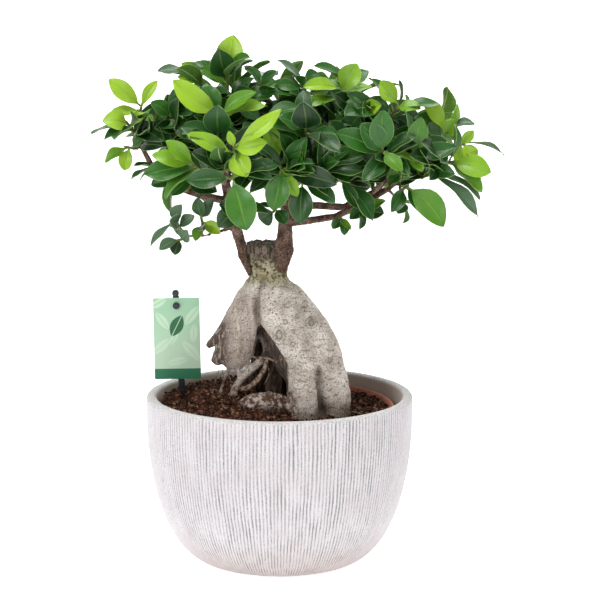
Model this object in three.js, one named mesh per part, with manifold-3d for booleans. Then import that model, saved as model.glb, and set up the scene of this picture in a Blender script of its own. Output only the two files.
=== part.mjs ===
// A grafted ficus with thick bare roots, growing in a plastic nursery pot that stands in a stoneware bowl.
// Lengths are millimetres and +Z is up. The centre of the bowl's foot is the origin and the front faces -Y.
import * as THREE from "three";
import { mergeVertices } from "three/addons/utils/BufferGeometryUtils.js";
import Module from "manifold-3d";

const wasm = await Module();
wasm.setup();

// ---------- driving sizes ----------
const bowlRadius = 102.5; // outside of the lip
const bowlHeight = 130;
const bowlFootRadius = 52;
const bowlWall = 8.2;
const bowlFloor = 10;

const seatGap = 0.3; // between two pieces that rest on or in each other
const potGap = 6.3; // all round, between the nursery pot's rim and the bowl
const potWall = 1.5;
const potRimDrop = 9; // how far the nursery pot's rim sits under the bowl's lip
const potRimBand = 12; // height of the thicker band below the rim
const potTaper = 26; // how much narrower the pot is at its foot
const potFootHigh = 7; // height of the sloping edge round the pot's bottom
const potFootSlope = 12; // and how far that edge draws in
const potFootGap = 1.2; // least gap between the pot's foot and the bowl's curved wall
const drainHoleRadius = 4.5;
const drainHoles = 6;

const soilDrop = 3.5; // soil below the nursery pot's rim, on the right
const soilMound = 9; // how much higher the soil lies on the left
const soilHeap = 9; // extra heap under the hanging root

const treeSize = 1; // the whole plant, as a multiple of the size it is drawn at
const leafWide = 1; // all leaves, as a multiple of the width they are drawn at
const leafHalfThick = 0.35;
const leafGap = 0.35; // kept between a leaf and the other pieces
const leafArch = 0.07; // rise of the midrib, as a share of the leaf's length
const leafFold = 0.2; // rise of the edges, as a share of half the width

const cardWidth = 36;
const cardHeight = 64;
const cardThick = 0.6;
const cardTop = 6; // card above its stud
const cardTilt = 0.016; // radians, the lower end swings to the right
const stakeTilt = 0.06;
const stakeWidth = 5;
const stakeThick = 2;
const stakeDepth = 18; // length of stake in the soil
const studRadius = 1.8;
const stakeInset = 8; // from the nursery pot's rim to the stake, where it enters the soil
const stakeWallGap = 0.94; // between the stake's foot and the nursery pot's wall

// ---------- sizes that follow ----------
const mix = (a, b, t) => a + (b - a) * t;
const lipRadius = bowlWall * 0.38;
const bowlTurn = bowlHeight - lipRadius; // height at which the wall turns into the lip
const swellPower = 2.4;
const swell = (t) => Math.sqrt(1 - Math.pow(1 - t, swellPower));
const swellBack = (s) => 1 - Math.pow(1 - s * s, 1 / swellPower); // the t that gives a swell of s
const bowlOutside = (z) => mix(bowlFootRadius, bowlRadius, swell(z / bowlTurn));
const bowlInnerFoot = bowlFootRadius - 4;
const bowlInside = (z) =>
  mix(bowlInnerFoot, bowlRadius - bowlWall, swell((z - bowlFloor) / (bowlTurn - bowlFloor)));
// The height from which the bowl's hollow is at least this wide.
function bowlWideFrom(radius) {
  const share = Math.max(0, (radius - bowlInnerFoot) / (bowlRadius - bowlWall - bowlInnerFoot));
  return mix(bowlFloor, bowlTurn, swellBack(share));
}
const potRimRadius = bowlRadius - bowlWall - potGap;
const potRimTop = bowlHeight - potRimDrop;
const potBodyRadius = potRimRadius - 5;
const potFootRadius = potBodyRadius - potTaper;
const potBottomRadius = potFootRadius - potFootSlope;
// The pot stands on the bowl's floor, or higher up where its foot meets the curved wall.
const potBase = Math.max(
  bowlFloor + seatGap,
  bowlWideFrom(potBottomRadius + potFootGap),
  bowlWideFrom(potFootRadius + potFootGap) - potFootHigh,
);
const potFootTop = potBase + potFootHigh;
const potBandBottom = potRimTop - potRimBand;
const soilLevel = potRimTop - soilDrop;
const plantFloor = soilLevel; // the plant is scaled about this height
const drawnFloor = 117.5;

// ---------- small geometry tools ----------
function solidFrom(geometry) {
  const flat = geometry.index ? geometry.toNonIndexed() : geometry;
  const bare = new THREE.BufferGeometry();
  bare.setAttribute("position", flat.getAttribute("position"));
  const welded = mergeVertices(bare, 1e-4);
  const made = new wasm.Manifold(
    new wasm.Mesh({
      numProp: 3,
      vertProperties: new Float32Array(welded.attributes.position.array),
      triVerts: new Uint32Array(welded.index.array),
    }),
  );
  return made;
}

function solidFromLists(points, faces) {
  return new wasm.Manifold(
    new wasm.Mesh({
      numProp: 3,
      vertProperties: new Float32Array(points.flat()),
      triVerts: new Uint32Array(faces.flat()),
    }),
  );
}

// The solid turned about the upright axis by a profile of [radius, height] pairs.
// The profile climbs on the outside and comes back on the inside.
function turned(profile, segments) {
  const points = profile.map(([r, z]) => new THREE.Vector2(r, z));
  const geometry = new THREE.LatheGeometry(points, segments);
  geometry.rotateX(Math.PI / 2);
  return solidFrom(geometry);
}

const add = (a, b) => [a[0] + b[0], a[1] + b[1], a[2] + b[2]];
const sub = (a, b) => [a[0] - b[0], a[1] - b[1], a[2] - b[2]];
const times = (a, k) => [a[0] * k, a[1] * k, a[2] * k];
const dot = (a, b) => a[0] * b[0] + a[1] * b[1] + a[2] * b[2];
const length = (a) => Math.sqrt(dot(a, a));
const unit = (a) => times(a, 1 / length(a));
const cross = (a, b) => [
  a[1] * b[2] - a[2] * b[1],
  a[2] * b[0] - a[0] * b[2],
  a[0] * b[1] - a[1] * b[0],
];
const ramp = (x, from, to) => {
  const t = Math.min(1, Math.max(0, (x - from) / (to - from)));
  return t * t * (3 - 2 * t);
};

// More stations between the given ones, on a smooth curve; each station is [x, y, z, radius].
function smooth(stations, steps) {
  const out = [];
  for (let i = 0; i < stations.length - 1; i++) {
    const p0 = stations[Math.max(0, i - 1)];
    const p1 = stations[i];
    const p2 = stations[i + 1];
    const p3 = stations[Math.min(stations.length - 1, i + 2)];
    for (let s = 0; s < steps; s++) {
      const t = s / steps;
      out.push(
        p1.map(
          (v, k) =>
            0.5 *
            (2 * v +
              (p2[k] - p0[k]) * t +
              (2 * p0[k] - 5 * v + 4 * p2[k] - p3[k]) * t * t +
              (3 * v - p0[k] - 3 * p2[k] + p3[k]) * t * t * t),
        ),
      );
    }
  }
  out.push(stations[stations.length - 1]);
  return out;
}

// A closed round rod through stations [x, y, z, radius], with flat ends.
function rod(stations, sides, grow = 0) {
  const points = [];
  const faces = [];
  const last = stations.length - 1;
  let across = null;
  stations.forEach((station, i) => {
    const before = stations[Math.max(0, i - 1)];
    const after = stations[Math.min(last, i + 1)];
    const along = unit(sub(after, before));
    if (!across) {
      const guide = Math.abs(along[2]) < 0.9 ? [0, 0, 1] : [1, 0, 0];
      across = unit(cross(guide, along));
    }
    across = unit(sub(across, times(along, dot(across, along))));
    const other = cross(along, across);
    for (let k = 0; k < sides; k++) {
      const angle = (2 * Math.PI * k) / sides;
      const reach = station[3] + grow;
      const out = add(times(across, Math.cos(angle) * reach), times(other, Math.sin(angle) * reach));
      points.push(add(station, out));
    }
  });
  for (let i = 0; i < last; i++) {
    for (let k = 0; k < sides; k++) {
      const a = i * sides + k;
      const b = i * sides + ((k + 1) % sides);
      faces.push([a, b, b + sides], [a, b + sides, a + sides]);
    }
  }
  const start = points.push(stations[0].slice(0, 3)) - 1;
  const end = points.push(stations[last].slice(0, 3)) - 1;
  for (let k = 0; k < sides; k++) {
    const next = (k + 1) % sides;
    faces.push([start, next, k]);
    faces.push([end, last * sides + k, last * sides + next]);
  }
  return solidFromLists(points, faces);
}

const joined = (solids) => wasm.Manifold.union(solids);

function largest(solid) {
  const bodies = solid.decompose();
  return bodies.reduce((best, body) => (body.volume() > best.volume() ? body : best));
}

// ---------- the stoneware bowl ----------
function coverBowl() {
  const profile = [[0, 0]];
  const rows = [0, 0.008, 0.03, 0.07, 0.13, 0.21, 0.32, 0.48, 0.7];
  rows.forEach((t) => profile.push([bowlOutside(t * bowlTurn), t * bowlTurn]));
  for (let k = 0; k <= 5; k++) {
    const angle = (Math.PI * k) / 5;
    const middle = k < 3 ? bowlRadius - lipRadius : bowlRadius - bowlWall + lipRadius;
    profile.push([middle + lipRadius * Math.cos(angle), bowlTurn + lipRadius * Math.sin(angle)]);
  }
  rows
    .slice()
    .reverse()
    .forEach((t) => {
      const z = mix(bowlFloor, bowlTurn, t);
      profile.push([bowlInside(z), z]);
    });
  profile.push([0, bowlFloor]);
  return turned(profile, 48);
}

// ---------- the plastic nursery pot ----------
// The hollow of the pot, as a profile that climbs from the floor to the rim, held off the wall by a gap.
function potHollow(gap) {
  const in_ = potWall + gap;
  return [
    [0, potBase + in_],
    [potBottomRadius, potBase + in_],
    [potFootRadius - in_, potFootTop + in_ * 0.5],
    [potBodyRadius - in_, potBandBottom + in_],
    [potRimRadius - 1.5 - in_, potBandBottom + in_],
    [potRimRadius - in_, potRimTop],
  ];
}

function nurseryPot() {
  const outside = [
    [0, potBase],
    [potBottomRadius, potBase],
    [potFootRadius, potFootTop],
    [potBodyRadius, potBandBottom],
    [potRimRadius - 1.5, potBandBottom],
    [potRimRadius, potRimTop],
  ];
  let pot = turned([...outside, ...potHollow(0).reverse()], 40);
  for (let k = 0; k < drainHoles; k++) {
    const angle = (2 * Math.PI * (k + 0.5)) / drainHoles;
    const x = (potFootRadius - 23) * Math.cos(angle);
    const y = (potFootRadius - 23) * Math.sin(angle);
    const hole = rod([[x, y, potBase - 2, drainHoleRadius], [x, y, potBase + 5, drainHoleRadius]], 12);
    pot = pot.subtract(hole);
  }
  return pot;
}

// ---------- the soil ----------
function soilHeight(x, y) {
  const mound = soilMound * (1 - ramp(x, -45, 42));
  const heap = soilHeap * Math.exp(-((x + 36) ** 2 + (y + 2) ** 2) / 800);
  const lumps = 0.8 * Math.sin(x * 0.16 + 1) * Math.cos(y * 0.19) + 0.5 * Math.sin(x * 0.31 + y * 0.27);
  const edge = -2.5 * ramp(Math.hypot(x, y), potRimRadius - 8, potRimRadius + 4);
  return soilLevel + mound + heap + lumps + edge;
}

function soilBlock() {
  const reach = potRimRadius + 6;
  const rings = 6;
  const spokes = 32;
  const points = [[0, 0, soilHeight(0, 0)]];
  for (let i = 1; i <= rings; i++) {
    for (let k = 0; k < spokes; k++) {
      const r = (reach * i) / rings;
      const x = r * Math.cos((2 * Math.PI * k) / spokes);
      const y = r * Math.sin((2 * Math.PI * k) / spokes);
      points.push([x, y, soilHeight(x, y)]);
    }
  }
  const top = (i, k) => (i === 0 ? 0 : 1 + (i - 1) * spokes + (k % spokes));
  const faces = [];
  for (let k = 0; k < spokes; k++) {
    faces.push([0, top(1, k), top(1, k + 1)]);
    for (let i = 1; i < rings; i++) {
      faces.push([top(i, k), top(i + 1, k), top(i + 1, k + 1)]);
      faces.push([top(i, k), top(i + 1, k + 1), top(i, k + 1)]);
    }
  }
  const rim = points.length;
  for (let k = 0; k < spokes; k++) {
    const [x, y] = points[top(rings, k)];
    points.push([x, y, 0]);
  }
  const centre = points.push([0, 0, 0]) - 1;
  for (let k = 0; k < spokes; k++) {
    const next = (k + 1) % spokes;
    faces.push([top(rings, k), rim + k, rim + next]);
    faces.push([top(rings, k), rim + next, top(rings, k + 1)]);
    faces.push([centre, rim + next, rim + k]);
  }
  const heap = solidFromLists(points, faces);
  const hollow = potHollow(seatGap);
  hollow.pop();
  const spill = potRimRadius + 3;
  const room = turned(
    [
      ...hollow,
      [potRimRadius - potWall - seatGap - 0.1, potRimTop + seatGap],
      [spill, potRimTop + seatGap],
      [spill, potRimTop + 60],
      [0, potRimTop + 60],
    ],
    40,
  );
  return heap.intersect(room);
}

// ---------- the plant ----------
// Places a drawn point of the plant, [x, y, z] or [x, y, z, radius], at the size wanted.
function placed(p) {
  const out = [p[0] * treeSize, p[1] * treeSize, plantFloor + (p[2] - drawnFloor) * treeSize];
  if (p.length > 3) out.push(p[3] * treeSize);
  return out;
}

// Each limb of the thick root is a list of [x, y, z, radius] stations. They are welded into one trunk.
const rootLimbs = [
  [[-9, 0, 247, 16.5], [-9, 0, 242, 17], [-8, 0, 233, 15.5], [-8, 0, 225, 14], [-8, 0, 215, 17],
    [-4, 0, 203, 22], [4, -1, 189, 24.5], [14, -4, 174, 26.5], [22, -8, 160, 25.5], [27, -12, 148, 23.5],
    [29, -14, 136, 23.5], [30, -15, 122, 22], [29, -15, 104, 17], [28, -14, 90, 10]],
  [[-12, 0, 224, 8], [-15, -1, 215, 10.5], [-21, -3, 203, 13.5], [-27, -5, 189, 14.5], [-31, -6, 176, 15],
    [-33, -7, 165, 14.5], [-35, -8, 157, 11.5], [-37, -9, 151, 6]],
  [[22, -18, 152, 15], [20, -30, 137, 13.5], [19, -36, 126, 12], [19, -40, 112, 8]],
  [[36, -12, 152, 14], [41, -21, 138, 12.5], [43, -26, 126, 11], [45, -29, 110, 7]],
  [[-36, -5, 186, 8], [-45, -8, 177, 5], [-52, -9, 171, 3.4], [-55, -9, 168, 2.4]],
  [[-40, -7, 168, 8], [-46, -8, 160, 6], [-50, -8, 155, 3]],
  [[-6, 14, 206, 14], [-8, 22, 186, 14], [-7, 26, 164, 12], [-8, 28, 142, 11], [-10, 30, 112, 8]],
  [[-14, 4, 182, 5], [-10, -4, 168, 4.5], [-13, -9, 159, 4.2], [-22, -13, 151, 3.6], [-33, -16, 139, 3],
    [-40, -18, 126, 2]],
  [[-34, -30, 122, 5], [-22, -33, 128, 8], [-8, -33, 129, 9], [4, -30, 126, 7.5], [16, -26, 122, 6]],
  [[26, 4, 150, 16], [30, 14, 134, 13], [33, 22, 112, 8]],
  [[-37, -9, 160, 2.4], [-40, -12, 148, 1.7], [-45, -16, 136, 1.4], [-50, -20, 120, 1.2]],
  [[-33, -10, 160, 2.2], [-31, -15, 147, 1.6], [-33, -19, 135, 1.4], [-32, -22, 118, 1.2]],
];

function rootTrunk(grow) {
  const limbs = rootLimbs.map((limb, i) => {
    const sides = i === 0 ? 14 : limb[0][3] > 7 ? 9 : 6;
    return rod(smooth(limb.map(placed), 2), sides, grow);
  });
  return largest(joined(limbs));
}

// The two grafted crowns. Each branch is a list of [x, y, z, radius] stations, and the first one is the stem.
const leftBranches = [
  [[-13, 0, 214, 4], [-21, -2, 225, 4.6], [-28, -3, 239, 4.3], [-31, -3, 252, 4.2], [-34, -2, 263, 3.9],
    [-38, 0, 278, 3.7], [-41, 0, 294, 3.5]],
  [[-40, 0, 279, 3.2], [-60, -4, 284, 2.9], [-86, -8, 294, 2.5], [-97, -8, 308, 2.1], [-104, -6, 321, 1.8],
    [-108, -4, 333, 1.5]],
  [[-36, -3, 258, 2.2], [-46, -9, 257, 1.5], [-58, -15, 254, 1.3], [-70, -20, 255, 1.2]],
  [[-41, 0, 291, 3.4], [-39, -6, 316, 3], [-38, -8, 338, 2.6], [-38, -7, 354, 2.1]],
  [[-40, 0, 288, 3], [-42, -25, 297, 2.5], [-40, -46, 304, 2.1], [-37, -56, 308, 1.6]],
  [[-41, 0, 292, 3], [-46, 25, 306, 2.6], [-52, 46, 318, 2.2], [-50, 60, 326, 1.6]],
  [[-39, -6, 314, 2.6], [-58, -12, 323, 2.1], [-74, -14, 332, 1.6]],
  [[-38, -8, 330, 2.4], [-24, -2, 340, 2], [-16, 2, 347, 1.6]],
];
const rightBranches = [
  [[1, -10, 226, 4], [2, -13, 238, 8], [4, -10, 248, 7.6], [4, -6, 257, 5.6], [5, -2, 268, 5],
    [10, 2, 290, 4], [16, 4, 312, 3.4], [22, 2, 332, 2.8], [25, 0, 350, 2.2], [23, -2, 360, 1.6]],
  [[5, -2, 262, 3.4], [22, -8, 265, 3], [42, -14, 269, 2.8], [62, -16, 278, 2.6], [80, -18, 290, 2.4],
    [90, -22, 298, 2], [104, -26, 304, 1.7], [116, -24, 309, 1.4]],
  [[6, 0, 275, 3.6], [22, 6, 275, 3.1], [50, 8, 273, 2.9], [72, 6, 285, 2.5], [88, 8, 300, 2.2],
    [104, 8, 316, 1.8], [114, 4, 326, 1.4]],
  [[5, 0, 272, 3.2], [-3, -3, 283, 2.8], [-11, -7, 300, 2.2], [-14, -10, 312, 1.6]],
  [[10, 2, 290, 3], [17, -20, 298, 2.5], [24, -36, 303, 2], [30, -48, 306, 1.5]],
  [[12, 3, 298, 3], [24, 28, 308, 2.6], [34, 52, 318, 2.2], [38, 68, 324, 1.6]],
  [[16, 4, 312, 3], [38, 0, 328, 2.5], [56, -4, 340, 2.1], [68, -6, 347, 1.6]],
  [[50, 8, 273, 2.6], [70, 32, 288, 2.2], [84, 50, 300, 1.8], [90, 58, 308, 1.4]],
  [[16, -18, 297, 2], [12, -34, 302, 1.7], [8, -40, 305, 1.4]],
  [[72, 5, 285, 2.2], [80, -14, 300, 1.8], [84, -22, 310, 1.5]],
];

// Leafy shoots, as [crown, foot of the twig, tip of the twig, leaves drawn one by one, extra leaves,
// their length, their tone]. Each drawn leaf is [place along the twig in tenths, dx, dy, dz to the leaf's tip, width,
// tenths turned to face the front, tone]. Tone runs from 0 for dark old leaves to 9 for fresh lime ones, and
// is negative for greyish ones.
const shoots = [
  ["left", [-39, -7, 362], [-40, -8, 374], [[10, 6, -2, 31, 22, 9, 9], [8, -5, -14, 24, 22, 10, 1],
    [6, 20, 2, 16, 13, 2, -3], [3, -16, 4, 20, 13, 4, 4], [5, -20, -6, 12, 14, 6, 4]], 2, 38, 3],
  ["left", [-50, -5, 360], [-58, -4, 367], [[10, -34, 4, 10, 14, 1, -3], [9, -16, -4, 17, 13, 4, 8],
    [7, -20, -8, 8, 12, 4, 7]], 3, 36, 3],
  ["left", [-42, -30, 338], [-44, -40, 349], [[10, -34, -8, 25, 20, 8, 9], [9, -12, -4, 22, 17, 7, 4],
    [5, -32, -10, 10, 17, 7, 1], [8, 27, -4, 18, 15, 5, 6], [6, 34, -4, 10, 12, 4, 8]], 1, 36, 3],
  ["left", [-45, -42, 325], [-45, -50, 333], [[10, 0, -10, 24, 23, 10, 2], [8, -28, -6, 9, 15, 7, 1],
    [5, 24, -8, -8, 16, 7, 3], [4, 24, -4, 12, 13, 5, 3]], 1, 34, 2],
  ["left", [-36, -58, 311], [-33, -66, 327], [[10, 35, -6, 28, 13, 8, 9], [9, 23, -12, 5, 16, 7, 9],
    [8, 10, -10, -18, 18, 9, 9], [7, -33, -8, 15, 14, 8, 8], [10, -4, -5, 12, 7, 8, 9]], 1, 34, 4],
  ["left", [-55, -48, 304], [-63, -55, 313], [[10, -30, -6, 8, 14, 7, 8], [8, -37, -8, -5, 18, 7, 4],
    [10, -20, -6, 18, 13, 7, 7], [5, -20, -8, -18, 15, 7, 3]], 2, 36, 4],
  ["left", [-36, -63, 304], [-34, -73, 305], [[10, 10, -10, -37, 25, 10, 4], [7, 34, -6, 9, 12, 1, 1],
    [6, -33, -8, -1, 16, 8, 2]], 1, 30, 3],
  ["right", [4, -46, 306], [1, -55, 310], [[10, -6, -8, -30, 20, 10, 4], [9, 12, -3, -20, 12, 8, 8],
    [7, 40, -6, -10, 18, 9, 0], [5, -22, 2, 14, 14, 5, 2]], 4, 34, 1],
  ["right", [17, -36, 297], [17, -46, 299], [[10, -2, -8, -30, 20, 10, 1], [6, 24, -6, -14, 14, 6, 1]], 1, 32, 1],
  ["left", [-33, -14, 274], [-32, -22, 276], [[10, -14, -6, -13, 17, 10, 0], [8, -13, -8, 4, 15, 9, 0]], 1, 24, 1],
  ["right", [-2, -12, 276], [-4, -19, 274], [[10, -15, -6, -9, 17, 10, 0], [7, 8, -8, -10, 12, 8, 1]], 1, 24, 1],
  ["left", [-72, -21, 257], [-79, -24, 266], [[10, -18, -4, -18, 8, 4, -3], [9, 5, -4, 15, 11, 7, -3],
    [7, -5, -12, 5, 16, 9, -1], [5, 12, -6, 10, 10, 7, -2]], 1, 20, -1],
  ["left", [-70, -24, 255], [-75, -27, 253], [[10, -15, -4, -7, 10, 7, -3], [9, -4, -4, -11, 11, 7, 0],
    [7, 5, -9, 8, 14, 9, -2]], 1, 18, -2],
  ["left", [-58, -17, 260], [-59, -19, 269], [[10, -2, -6, 16, 11, 8, 1], [9, 9, -4, 15, 11, 7, -1],
    [6, 14, -8, -8, 11, 8, 9], [3, -5, -6, -11, 9, 8, 5]], 1, 20, 0],
  ["left", [-107, -4, 341], [-104, -5, 351], [[10, -24, -3, 21, 15, 8, 9], [9, 13, -2, 21, 9, 8, 9],
    [7, -22, -6, -2, 10, 6, 9], [6, -26, 6, -5, 9, 0, -3]], 1, 28, 6],
  ["left", [-110, -9, 332], [-113, -13, 338], [[10, -19, -8, 4, 19, 8, 9], [8, 13, -6, 10, 10, 6, 9],
    [7, -29, -4, -4, 9, 2, -3], [5, -20, -6, -8, 12, 5, 4]], 1, 26, 4],
  ["left", [-107, -9, 320], [-113, -11, 321], [[10, -18, -4, -11, 10, 5, 6], [9, -4, -5, -17, 12, 8, 9],
    [6, 10, -8, 10, 10, 6, 3]], 1, 22, 2],
  ["left", [-97, -12, 326], [-97, -15, 338], [[10, 20, -4, 12, 16, 6, 3], [9, 23, -6, 0, 12, 3, 3],
    [8, -2, -6, 19, 13, 6, 3], [6, 18, -10, -10, 14, 7, 2]], 1, 30, 2],
  ["left", [-78, -16, 338], [-83, -18, 347], [[10, 16, -4, 18, 16, 5, 2], [9, 24, -6, 6, 17, 6, 2],
    [7, -14, -8, 12, 13, 6, 3], [5, 18, -12, -12, 16, 7, 3]], 2, 34, 2],
  ["left", [-90, -12, 304], [-94, -16, 306], [[10, -15, -4, 2, 8, 2, 1], [8, -18, -2, -8, 7, 2, 2],
    [6, 18, -10, -4, 13, 6, 1]], 2, 26, 1],
  ["left", [-68, -13, 291], [-71, -20, 296], [[10, -24, -8, -2, 16, 6, 2], [8, 24, -12, -5, 16, 8, 1],
    [6, 12, -8, 14, 14, 6, 1]], 3, 32, 1],
  ["left", [-70, 30, 316], [-78, 38, 322], [], 7, 44, 2],
  ["left", [-50, 68, 330], [-50, 80, 336], [], 7, 44, 3],
  ["left", [-36, 34, 346], [-34, 44, 357], [], 7, 42, 3],
  ["left", [-64, 56, 304], [-74, 65, 303], [], 8, 44, 2],
  ["left", [-60, -6, 338], [-61, -5, 350], [], 7, 42, 3],
  ["left", [-15, 0, 354], [-14, -1, 366], [[10, -12, -4, 14, 11, 4, 3], [9, 12, -2, 13, 12, 6, 2],
    [7, 24, -8, -2, 12, 5, 3], [5, -20, -10, -4, 14, 6, 3]], 2, 34, 3],
  ["left", [-15, -24, 338], [-12, -36, 343], [[10, 28, -8, 10, 14, 5, 3], [8, -18, -8, 12, 13, 6, 3],
    [9, 12, -10, -24, 14, 8, 7]], 4, 36, 2],
  ["right", [-17, -20, 312], [-17, -32, 315], [[10, 30, -10, 4, 18, 8, 1], [8, 12, -14, -22, 18, 9, 1]], 6, 36, 1],
  ["right", [20, -3, 361], [17, -4, 367], [[10, -19, -2, 19, 12, 4, -3], [9, 14, -6, 8, 13, 5, 3],
    [7, -20, -8, 2, 14, 6, 3], [6, 16, -10, -4, 16, 6, 2], [8, 2, -8, 8, 14, 6, 3],
    [4, -8, -14, -18, 18, 8, 2]], 0, 32, 3],
  ["right", [20, -34, 327], [19, -45, 338], [[9, -2, -12, 22, 24, 10, 0], [10, -20, -8, 10, 14, 7, 2],
    [6, 22, -8, 4, 11, 2, 3]], 5, 38, 1],
  ["right", [45, -8, 352], [46, -10, 364], [[9, 12, -3, 21, 19, 9, 8], [10, -30, -6, 3, 13, 6, 8],
    [8, 24, -4, 4, 11, 4, 7], [6, -28, -10, -6, 12, 6, 7]], 3, 34, 3],
  ["right", [62, -15, 341], [64, -22, 348], [[10, -15, -6, 8, 12, 3, -3], [8, 12, -8, 8, 14, 6, 8],
    [6, -22, -10, -3, 15, 6, 2]], 5, 38, 2],
  ["right", [78, -34, 314], [76, -45, 321], [[9, 0, -6, 32, 20, 10, 4], [8, -17, -8, 23, 20, 9, 2],
    [6, -36, -10, 18, 18, 9, 3], [10, 14, -10, -13, 13, 9, 5], [10, 23, -6, -7, 10, 3, 7]], 4, 34, 1],
  ["right", [95, -28, 314], [98, -39, 319], [[10, 6, -8, 28, 17, 10, 5], [9, 33, -6, 6, 15, 6, 2],
    [8, 8, -10, -11, 13, 9, 6]], 4, 34, 2],
  ["right", [84, -8, 345], [89, -9, 353], [[10, -14, -2, 18, 15, 9, 8], [8, 1, -2, 20, 7, 2, 1],
    [7, 18, -8, 0, 14, 6, 7], [5, -20, -8, -5, 14, 6, 2]], 2, 32, 3],
  ["right", [120, 2, 328], [126, -3, 331], [[10, -20, -4, 27, 14, 7, 9], [10, 8, 2, 22, 7, 3, 7],
    [10, 21, -4, 7, 11, 2, -3], [6, 8, -8, 12, 14, 7, 7], [5, -16, -10, 4, 16, 7, 2],
    [4, -18, -8, 14, 16, 6, 3]], 0, 26, 3],
  ["right", [130, -10, 320], [138, -11, 324], [[10, 5, -6, -14, 12, 8, 9], [9, 10, -4, -11, 11, 7, 9],
    [8, -3, -8, -16, 12, 8, 8], [10, 31, 0, -9, 8, 1, -2], [7, 10, -2, 11, 9, 6, 8]], 0, 30, 6],
  ["right", [121, -26, 310], [127, -30, 312], [[10, 30, -6, -7, 20, 8, 7], [9, 24, -8, -21, 13, 5, 6],
    [6, -10, -10, 14, 13, 7, 4]], 3, 30, 2],
  ["right", [106, -29, 300], [113, -33, 304], [[10, 36, -4, -19, 9, 3, -2], [9, 35, -8, -31, 12, 5, -2],
    [4, 22, -10, 4, 14, 6, 3], [6, -20, -8, 4, 14, 7, 4]], 1, 28, 3],
  ["right", [90, -32, 291], [94, -41, 295], [[10, 27, -14, -28, 22, 9, 5], [8, 14, -10, -20, 16, 8, 1],
    [5, -18, -8, -2, 12, 6, 4]], 3, 30, 2],
  ["right", [88, -16, 283], [94, -18, 281], [[10, 22, -4, -6, 11, 2, 0], [7, -4, -8, -9, 12, 8, 1]], 2, 24, 1],
  ["right", [60, -20, 275], [64, -23, 275], [[10, 14, -6, -2, 13, 8, 1], [8, 16, -6, 8, 9, 7, 5],
    [6, -10, -8, -6, 10, 8, 2]], 1, 22, 2],
  ["right", [45, -18, 270], [46, -20, 268], [[10, 3, -3, -12, 8, 7, 2], [6, -6, -3, -8, 8, 7, 2],
    [4, 8, -4, -9, 6, 6, 6]], 0, 12, 2],
  ["right", [42, -30, 298], [45, -38, 301], [[10, 12, -6, -22, 11, 6, 2], [8, -22, -8, 2, 15, 7, 1],
    [6, 18, -10, 6, 14, 6, 2]], 5, 38, 1],
  ["right", [46, -16, 322], [48, -28, 325], [[10, 24, -12, -18, 18, 8, 1], [9, -26, -12, -8, 18, 8, 1],
    [8, -8, -16, -26, 20, 9, 1], [6, -10, -16, 20, 18, 8, 2]], 5, 40, 1],
  ["right", [38, 76, 327], [40, 88, 333], [], 7, 44, 3],
  ["right", [64, 54, 322], [70, 64, 328], [], 8, 42, 2],
  ["right", [94, 66, 314], [102, 76, 318], [], 7, 44, 2],
  ["right", [110, 28, 324], [119, 34, 328], [], 7, 38, 4],
  ["right", [4, 44, 338], [2, 54, 349], [], 7, 42, 3],
  ["right", [54, 10, 348], [57, 14, 358], [], 7, 40, 4],
];

const twigRadius = 1.2;
const twigCollar = 3; // length of straight twig at the foot of a shoot

// A repeatable number from 0 to 1 for each shoot and leaf.
function chance(i, j) {
  const v = Math.sin(i * 12.9898 + j * 78.233) * 43758.5453;
  return v - Math.floor(v);
}

// The leaves of one shoot: place along the twig, the way to the tip, width and how far they face the front.
function leavesOf(shoot, index) {
  const [, foot, tip, drawn, extra, reach] = shoot;
  const list = drawn.map(([place, dx, dy, dz, width, front]) => {
    return { place: place / 10, way: [dx, dy, dz], width, front };
  });
  const along = unit(sub(tip, foot));
  const guide = Math.abs(along[2]) < 0.9 ? [0, 0, 1] : [1, 0, 0];
  const across = unit(cross(guide, along));
  const other = cross(along, across);
  for (let k = 0; k < extra; k++) {
    const turn = 2.4 * k + 6.283 * chance(index, 50);
    const lean = 0.9 + 0.5 * chance(index, k);
    const size = reach * (0.8 + 0.3 * chance(index, k + 20));
    const round = add(times(across, Math.cos(turn)), times(other, Math.sin(turn)));
    const out = add(times(along, Math.cos(lean)), times(round, Math.sin(lean)));
    const place = 0.25 + (0.7 * k) / extra;
    list.push({ place, way: times(out, size), width: size * 0.45, front: 2, plain: true });
  }
  return list;
}

// The ways a leaf may be bent to the front or back, and shortened, until it is clear of its neighbours.
const bends = [0, 1, -1, 2, -2, 3, -3];
function bent(way, k) {
  const size = length(way);
  const shorter = k < bends.length ? 1 : 0.72;
  const moved = [way[0], way[1] + bends[k % bends.length] * 0.16 * size, way[2]];
  return times(unit(moved), size * shorter);
}

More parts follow.
